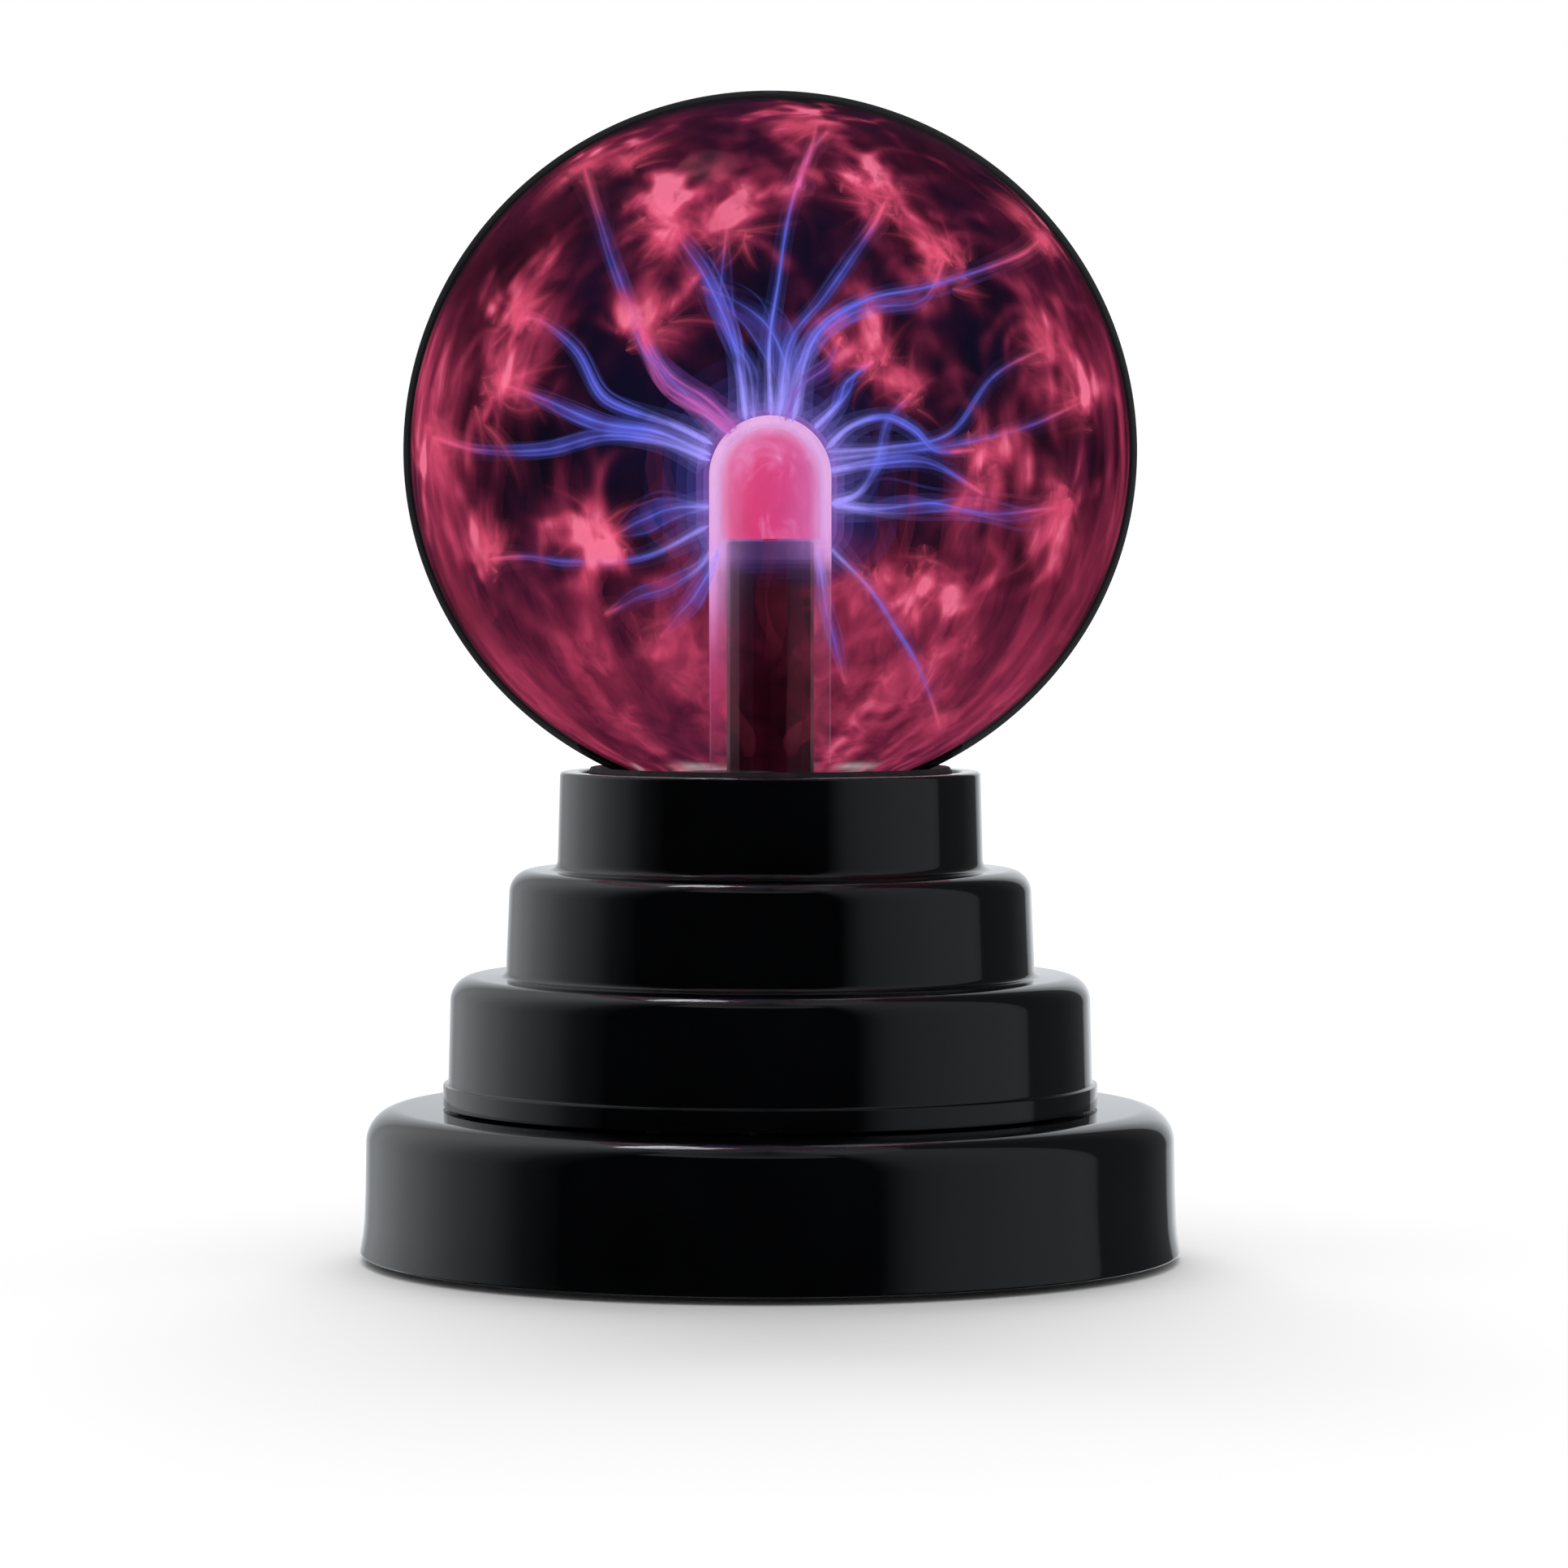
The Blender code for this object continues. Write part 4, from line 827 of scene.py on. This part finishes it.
def hazeMesh():
    outline = globeSide(globe, haze["inset"], haze["rings"])
    mesh = spunMesh("glassGlow", outline, haze["turns"], loop=False, inwards=True)
    points = np.empty(len(mesh.vertices) * 3)
    mesh.vertices.foreach_get("co", points)
    unit = points.reshape(-1, 3) / mm - middle
    unit /= np.linalg.norm(unit, axis=1)[:, None]
    spread, ground = hazeGlow(unit)
    for key, values in (("tuft", spread), ("ground", ground)):
        layer = mesh.attributes.new(key, "FLOAT", "POINT")
        layer.data.foreach_set("value", values.astype(np.float32))
    return mesh


def hazeFinish(name):
    mat, tree = newTree(name)
    tuft = put(tree, "ShaderNodeAttribute", {"attribute_name": "tuft"}).outputs["Fac"]
    ground = put(tree, "ShaderNodeAttribute", {"attribute_name": "ground"}).outputs["Fac"]
    where = put(tree, "ShaderNodeTexCoord").outputs["Object"]
    combed = put(tree, "ShaderNodeMapping", Vector=where, Scale=(1.0, 1.0, 0.3))
    fine = put(tree, "ShaderNodeTexNoise", Vector=combed.outputs["Vector"], Scale=300.0, Detail=3.0,
               Roughness=0.5, Distortion=0.6)
    comb = put(tree, "ShaderNodeMapRange", Value=fine.outputs["Fac"], From_Min=0.32, From_Max=0.68,
               To_Min=0.55, To_Max=1.3)
    both = put(tree, "ShaderNodeMath", {"operation": "ADD"}, n0=tuft, n1=ground)
    share = put(tree, "ShaderNodeMath", {"operation": "MULTIPLY", "use_clamp": True}, n0=both.outputs[0],
                n1=comb.outputs["Result"])
    colour = colourRamp(tree, share.outputs[0], [
        (0.0, (0.26, 0.018, 0.07)), (0.35, (0.46, 0.042, 0.115)), (0.7, (0.74, 0.08, 0.18)),
        (1.0, (1.0, 0.20, 0.34)),
    ])
    light = put(tree, "ShaderNodeEmission", Color=colour, Strength=1.0)
    clear = put(tree, "ShaderNodeBsdfTransparent", Color=(1, 1, 1, 1))
    solid = put(tree, "ShaderNodeMath", {"operation": "MULTIPLY", "use_clamp": True}, n0=share.outputs[0], n1=0.85)
    shader = put(tree, "ShaderNodeMixShader", n0=solid.outputs[0], n1=clear.outputs[0], n2=light.outputs[0])
    surface(tree, shader.outputs[0])
    mat.cycles.emission_sampling = "NONE"
    return mat


addPiece("glassGlow", hazeMesh(), hazeFinish("hazeLight"))
print("haze laid on the glass")


# stem and electrode

stem = {"radius": 6.6, "wall": 0.8, "top": 92.2, "flareZ": 47.0, "glowLow": 78.9, "turns": 96}


def domeOutline(radius, top, low, steps=16):
    points = arcPoints(0, top - radius, radius, 90, 0, steps)
    points[0] = (0.0, top)
    return [*points, (radius, low)]


def electrodeFinish(name):
    # crimson core with pale drifting wisps
    mat, tree = newTree(name)
    where = put(tree, "ShaderNodeTexCoord").outputs["Object"]
    drift = put(tree, "ShaderNodeMapping", Vector=where, Scale=(1.0, 1.0, 0.5))
    cloud = put(tree, "ShaderNodeTexNoise", Vector=drift.outputs["Vector"], Scale=210.0, Detail=4.0,
                Roughness=0.6, Distortion=0.8)
    height = put(tree, "ShaderNodeSeparateXYZ", Vector=where).outputs["Z"]
    paler = put(tree, "ShaderNodeMapRange", Value=height, From_Min=85.0 * mm, From_Max=91.0 * mm, To_Max=0.10)
    wisps = put(tree, "ShaderNodeMath", {"operation": "ADD"}, n0=cloud.outputs["Fac"], n1=paler.outputs["Result"])
    colour = colourRamp(tree, wisps.outputs[0], [
        (0.30, (0.72, 0.018, 0.065)), (0.52, (0.86, 0.035, 0.11)), (0.64, (0.97, 0.17, 0.34)),
        (0.76, (1.0, 0.58, 0.80)),
    ])
    light = put(tree, "ShaderNodeEmission", Color=colour, Strength=0.95)
    surface(tree, light.outputs[0])
    mat.cycles.emission_sampling = "NONE"
    return mat


def sheathFinish(name, look):
    # glow that clings to the stem glass, strongest at its edges, where it is a painted sheen of the glass's edges lit
    # by the electrode
    mat, tree = newTree(name)
    where = put(tree, "ShaderNodeTexCoord").outputs["Object"]
    drift = put(tree, "ShaderNodeMapping", Vector=where, Scale=(1.0, 1.0, 0.4))
    cloud = put(tree, "ShaderNodeTexNoise", Vector=drift.outputs["Vector"], Scale=look["cloud"], Detail=3.0,
                Roughness=0.55, Distortion=0.5)
    facing = put(tree, "ShaderNodeLayerWeight", Blend=0.5).outputs["Facing"]
    amount = colourRamp(tree, facing, look["share"], "EASE")
    glow = put(tree, "ShaderNodeAttribute", {"attribute_name": "glow"}).outputs["Fac"]
    uneven = put(tree, "ShaderNodeMapRange", Value=cloud.outputs["Fac"], From_Min=0.3, From_Max=0.7,
                 To_Min=0.6, To_Max=1.25)
    share = put(tree, "ShaderNodeMath", {"operation": "MULTIPLY"}, n0=amount, n1=glow)
    share = put(tree, "ShaderNodeMath", {"operation": "MULTIPLY", "use_clamp": True}, n0=share.outputs[0],
                n1=uneven.outputs["Result"])
    hue = put(tree, "ShaderNodeAttribute", {"attribute_name": "hue"}).outputs["Fac"]
    light = put(tree, "ShaderNodeEmission", Color=colourRamp(tree, hue, look["stops"]), Strength=1.0)
    clear = put(tree, "ShaderNodeBsdfTransparent", Color=(1, 1, 1, 1))
    shader = put(tree, "ShaderNodeMixShader", n0=share.outputs[0], n1=clear.outputs[0], n2=light.outputs[0])
    surface(tree, shader.outputs[0])
    mat.cycles.emission_sampling = "NONE"
    return mat


def paintByHeight(mesh, glowAt, hueAt):
    places = np.empty(len(mesh.vertices) * 3)
    mesh.vertices.foreach_get("co", places)
    places = places.reshape(-1, 3) / mm
    for key, values in (("glow", glowAt(places)), ("hue", hueAt(places))):
        layer = mesh.attributes.new(key, "FLOAT", "POINT")
        layer.data.foreach_set("value", values.astype(np.float32))


electrodeMesh = spunMesh("electrodeCap", [*domeOutline(5.4, 90.9, 78.8), (0.0, 78.8)], stem["turns"])
addPiece("electrodeCap", crisp(electrodeMesh), electrodeFinish("electrodeGlow"), ["electrode_dome"])

sheath = {
    "cloud": 160, "share": [(0.0, (0.03,) * 3), (0.18, (0.14,) * 3), (0.40, (0.58,) * 3), (0.62, (0.97,) * 3)],
    "stops": [(0.0, (1.0, 0.56, 0.86)), (0.5, (0.95, 0.42, 0.88)), (1.0, (0.62, 0.05, 0.20))],
}


def sheathGlow(places):
    x, y, z = places.T
    leftward = np.clip(-x / 6.6, 0, 1)
    below = ease(z, 74.5, 79.0) + (0.55 * leftward + 0.10) * ease(z, 52.0, 77.0)
    return np.clip(below, 0, 1)


# glow of the gas round the stem, with a painted sheen where the stem glass's edges are seen
sheathMesh = spunMesh("stemSheath", [*domeOutline(6.68, 92.28, 80.0, 20),
                                     *[(6.68, 80.0 - k) for k in range(1, 30)]], stem["turns"], loop=False)
paintByHeight(sheathMesh, sheathGlow, lambda p: 1 - ease(p[:, 2], 60.0, 88.0))
addPiece("stemSheath", sheathMesh, sheathFinish("sheathGlowAndSheen", sheath))

aura = {"gaps": (0.7, 1.5, 2.5, 3.7, 5.2, 7.2), "shares": (0.11, 0.085, 0.06, 0.042, 0.03, 0.02)}
auraBatchLook = {
    "cloud": 95, "share": [(0.0, (1.0,) * 3), (1.0, (1.0,) * 3)],
    "stops": [(0.0, (0.55, 0.22, 0.80)), (0.35, (0.14, 0.11, 0.60)), (1.0, (0.05, 0.05, 0.38))],
}
auraLight = sheathFinish("auraLight", auraBatchLook)
for k, (gap, share) in enumerate(zip(aura["gaps"], aura["shares"])):
    radius = 6.6 + gap
    under = [(r, z) for r, z in arcPoints(0, 0, 1, 0, -90, 12)]
    outline = [*domeOutline(radius, 85.6 + radius, 82.0, 14),
               *[(radius * r, 80.0 + (0.35 * radius + 2.0) * z) for r, z in under[:-1]], (0.0, 78.0 - 0.35 * radius)]
    shell = spunMesh(f"electrodeAura{k + 1}", outline, 64, loop=False)
    roughen = lambda p: share * np.clip(0.9 + 0.5 * waves(p, 0.30, 8, 40 + k), 0.15, 1.8)
    paintByHeight(shell, roughen, lambda p: np.full(len(p), k / 6))
    addPiece(f"electrodeAura{k + 1}", shell, auraLight)

stemOutline = [
    *domeOutline(6.6, 92.2, 47.0), (6.9, 44.5), (8.2, 42.3), (10.2, 41.2), (11.7, 40.8),
    (11.7, 39.8), (10.0, 40.1), (7.7, 41.2), (6.2, 43.4), *reversed(domeOutline(5.8, 91.4, 47.0)),
]
stemGlass = glassFinish("stemGlass", {
    "ripple": 120, "mirror": [(0.0, (0.005,) * 3), (0.7, (0.015,) * 3), (1.0, (0.1,) * 3)],
    "edge": [(0.0, (0.99, 0.98, 0.99)), (0.7, (0.98, 0.95, 0.98)), (1.0, (0.92, 0.84, 0.92))],
})
stemMesh = spunMesh("stemGlass", stemOutline, stem["turns"])
stemMiddle = [(0.0, 91.9), (3.1, 91.2), (5.4, 88.7), (6.2, 85.6), (6.2, 47.0), (6.5, 44.0), (8.0, 41.8), (11.7, 40.2)]
markOuter(stemMesh, betweenWalls(stemMiddle))
addPiece("stemGlass", stemMesh, stemGlass, ["stem_glass"])

# painted reflection of the room: a pale ragged glint, glowing on a ring inside the glass where the neck of the globe
# enters the collar
paintedGlint = {
    "cloud": 420, "share": [(0.0, (1.0,) * 3), (1.0, (1.0,) * 3)], "stops": [(0.0, (0.75, 0.66, 0.68)), (1.0, (0.9, 0.8, 0.82))],
}
paintedGlintRows = [(r, z) for r, z in globeSide(globe, 1.15, 400) if 52.6 < z < 54.7]
paintedGlintMesh = spunMesh("paintedNeckReflection", paintedGlintRows, 240, loop=False, inwards=True)


# strength of the painted reflection: a ragged band round the neck
def paintedGlintGlow(places):
    x, y, z = places.T
    ring = np.stack([x, y, z * 0.4], 1)
    ragged = waves(ring, 0.45, 8, 61)
    height = 53.4 + 0.35 * waves(ring, 0.3, 6, 62)
    return np.clip(0.55 * np.exp(-((z - height) / 0.38) ** 2) * np.clip(0.2 + ragged, 0, 1), 0, 1)


paintByHeight(paintedGlintMesh, paintedGlintGlow, lambda p: np.full(len(p), 0.5))
addPiece("paintedNeckReflection", paintedGlintMesh, sheathFinish("paintedReflectionLight", paintedGlint))
print("stem and electrode made")


# what is seen at the back: the switch knob and the power inlet

knob = {"half": (2.3, 1.7), "tip": 44.15, "back": 36.8, "centreX": -1.5, "centreZ": 9.2, "grooves": 5}


def knobMesh(k):
    (halfX, halfZ), x, z = k["half"], k["centreX"], k["centreZ"]
    blank = shapeMesh("knob", boxShape((x - halfX, k["back"], z - halfZ), (x + halfX, k["tip"], z + halfZ), 0.28, 4))
    cuts = []
    for i in range(k["grooves"]):
        middleX = x + (i - (k["grooves"] - 1) / 2) * 0.75
        groove = boxShape((middleX - 0.17, k["tip"] - 0.4, z - 3), (middleX + 0.17, k["tip"] + 1, z + 3), 0.08, 2)
        cuts.append(("DIFFERENCE", shapeMesh("groove", groove)))
    return crisp(carved(blank, cuts), 30)


addPiece("switchKnob", knobMesh(knob), paint["knobBlack"], ["switch_knob"], sliderBody)

inlet = {"turn": 26.0, "z": 9.2, "collar": 4.0, "bore": 3.1, "face": 44.0, "bodyY": (31.0, 41.4)}


def inletMesh(j):
    lowY, highY = j["bodyY"]
    blank = shapeMesh("body", boxShape((-4.6, lowY, 5.8), (4.6, highY, 13.2), 0.3, 3))
    spin = math.radians(j["turn"])
    for vert in blank.vertices:
        x, y, z = vert.co
        vert.co = (x * math.cos(spin) - y * math.sin(spin), x * math.sin(spin) + y * math.cos(spin), z)
    collar = drumMesh("collar", j["collar"], highY - 0.9, j["face"], j["z"], j["turn"])
    bore = drumMesh("bore", j["bore"], 34.5, 46.0, j["z"], j["turn"])
    lead = drumMesh("lead", j["bore"] + 0.35, j["face"] - 0.3, 46.0, j["z"], j["turn"])
    return crisp(carved(blank, [("UNION", collar), ("DIFFERENCE", bore), ("DIFFERENCE", lead)]), 30)


addPiece("powerInlet", inletMesh(inlet), paint["matteBlack"], ["dc_jack"])
pinMesh = drumMesh("inletPin", 1.0, 34.8, 43.0, 9.2, 26.0)
addPiece("inletPin", crisp(pinMesh, 30), paint["brassPin"], ["dc_jack_pin"])
print("knob and inlet made")


# the pieces that keep their own shape get their finishes

nodeFinish = {
    "bottom_cover": "matteBlack", "globe_cradle": "matteBlack", "seat_pad": "rubber", "neck_seal": "silicone",
    "electrode_sleeve": "sleeveBlack", "hv_lead": "leadRed", "circuit_board": "boardGreen",
    "transformer_core": "ferrite", "transformer_former": "formerCream", "transformer_winding": "copperWinding",
    "heat_sink": "aluminium", "power_transistor": "matteBlack", "main_capacitor": "canBlue",
    "film_capacitor": "filmOrange", "oscillator_chip": "matteBlack", "switch_body": "matteBlack",
    "heat_sink_screw": "screwSteel",
}
families = {"foot_": "rubber", "cover_screw_": "screwSteel", "housing_screw_": "screwSteel",
            "cradle_screw_": "screwSteel", "board_screw_": "screwSteel", "resistor_": "resistorTan"}


def finishOf(node):
    if node in nodeFinish:
        return paint[nodeFinish[node]]
    for start, name in families.items():
        if node.startswith(start):
            return paint[name]
    return stemGlass


for node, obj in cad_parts.items():
    if not obj.hide_render:
        obj.data.materials.clear()
        obj.data.materials.append(finishOf(node))
print("finishes given to the plain pieces")


# floor, light and camera

room = {"floorRadius": 60.0, "reach": 1.25, "white": 1.0}


def floorFinish():
    mat, tree = newTree("paleFloor")
    where = put(tree, "ShaderNodeTexCoord").outputs["Object"]
    mottle = put(tree, "ShaderNodeTexNoise", Vector=where, Scale=8.0, Detail=2.0)
    colour = colourRamp(tree, mottle.outputs["Fac"], [(0.3, (0.695, 0.695, 0.70)), (0.7, (0.715, 0.715, 0.72))])
    shader = put(tree, "ShaderNodeBsdfDiffuse", Color=colour)
    surface(tree, shader.outputs[0])
    return mat


floorShape = bmesh.new()
bmesh.ops.create_circle(floorShape, cap_ends=True, segments=96, radius=room["floorRadius"])
floor = helper("floor", shapeMesh("floor", floorShape))
floor.data.materials.append(floorFinish())
floor.visible_glossy = False

world = bpy.data.worlds.new("studio")
world.use_nodes = True
background = world.node_tree.nodes["Background"]
background.inputs["Color"].default_value = (1.0, 1.0, 1.0, 1.0)
background.inputs["Strength"].default_value = room["white"]
world.cycles_visibility.glossy = False
scene.world = world


def glowPanel(name, azimuths, elevations, strengths, nearer=1.0):
    # a curved panel round the lamp that only polished surfaces mirror; strengths run along the azimuth
    columns, rows = 48, 24
    shape = bmesh.new()
    grid = []
    for j in range(rows + 1):
        elevation = elevations[0] + (elevations[1] - elevations[0]) * j / rows
        line = []
        for i in range(columns + 1):
            azimuth = azimuths[0] + (azimuths[1] - azimuths[0]) * i / columns
            line.append(shape.verts.new(Vector(unitOf(azimuth, elevation)) * room["reach"] * nearer + Vector((0, 0, 0.03))))
        grid.append(line)
    for j in range(rows):
        for i in range(columns):
            shape.faces.new((grid[j][i], grid[j][i + 1], grid[j + 1][i + 1], grid[j + 1][i]))
    mesh = shapeMesh(name, shape)
    layer = mesh.attributes.new("strength", "FLOAT", "POINT")
    places, values = zip(*strengths)
    spread = np.interp(np.linspace(0, 1, columns + 1), places, values)
    layer.data.foreach_set("value", np.tile(spread, rows + 1).astype(np.float32))
    mat, tree = newTree(name)
    power = put(tree, "ShaderNodeAttribute", {"attribute_name": "strength"}).outputs["Fac"]
    light = put(tree, "ShaderNodeEmission", Color=(0.92, 0.96, 1.0, 1), Strength=power)
    surface(tree, light.outputs[0])
    panel = helper(name, mesh)
    mesh.materials.append(mat)
    for ray in ("camera", "diffuse", "transmission", "volume_scatter", "shadow"):
        setattr(panel, "visible_" + ray, False)
    return panel


glowPanel("leftPanel", (-157, -60), (-28, 70), [(0, 0.5), (0.1, 0.7), (0.27, 0.85), (0.46, 0.8), (0.61, 0.55),
                                               (0.75, 0.36), (0.87, 0.1), (1, 0.02)])
glowPanel("rightPanel", (30, 104), (-28, 70), [(0, 0.0), (0.16, 0.27), (0.3, 0.35), (0.6, 0.42), (0.9, 0.38),
                                               (0.98, 0.3), (1, 0.1)])
glowPanel("rightDim", (104, 151), (-28, 70), [(0, 0.09), (0.5, 0.07), (1, 0.12)])
glowPanel("backPanel", (151, 203), (-28, 60), [(0, 0.5), (0.25, 1.1), (0.8, 0.8), (1, 0.6)])
glowPanel("topPanel", (-180, 180), (70, 90), [(0, 0.30), (0.3, 0.45), (0.5, 0.15), (0.66, 0.55), (0.8, 0.45), (1, 0.30)])
glowPanel("topSpot", (-158, -116), (66, 79), [(0, 3.0), (0.2, 10.0), (0.8, 10.0), (1, 3.0)], 0.9)
glowPanel("topBand", (-112, 112), (60, 69.5), [(0, 0.3), (0.3, 0.45), (0.7, 0.3), (1, 0.2)])
glowPanel("topBandBack", (128, 172), (60, 69.5), [(0, 0.5), (0.6, 1.2), (1, 0.6)])


def softSun(name, direction, strength, spread):
    data = bpy.data.lights.new(name, "SUN")
    data.energy = strength
    data.angle = math.radians(spread)
    light = bpy.data.objects.new(name, data)
    light.rotation_euler = Vector(direction).to_track_quat("Z", "Y").to_euler()
    light.visible_glossy = False
    light.visible_camera = False
    scene.collection.objects.link(light)


softSun("backLight", (-0.05, 1.22, 1.0), 2.6, 54)

shot = {"place": (1.5, -680.0, 75.8), "aim": (1.5, 0.0, 52.0), "lens": 142.8}
cameraData = bpy.data.cameras.new("camera")
cameraData.lens = shot["lens"]
cameraData.sensor_width = 36.0
cameraData.clip_start = 0.01
camera = bpy.data.objects.new("camera", cameraData)
camera.location = Vector(shot["place"]) * mm
camera.rotation_euler = (Vector(shot["aim"]) - Vector(shot["place"])).to_track_quat("-Z", "Y").to_euler()
scene.collection.objects.link(camera)
scene.camera = camera
scene.view_settings.view_transform = "Standard"
scene.cycles.transparent_max_bounces = 128
print("room, lights and camera set")
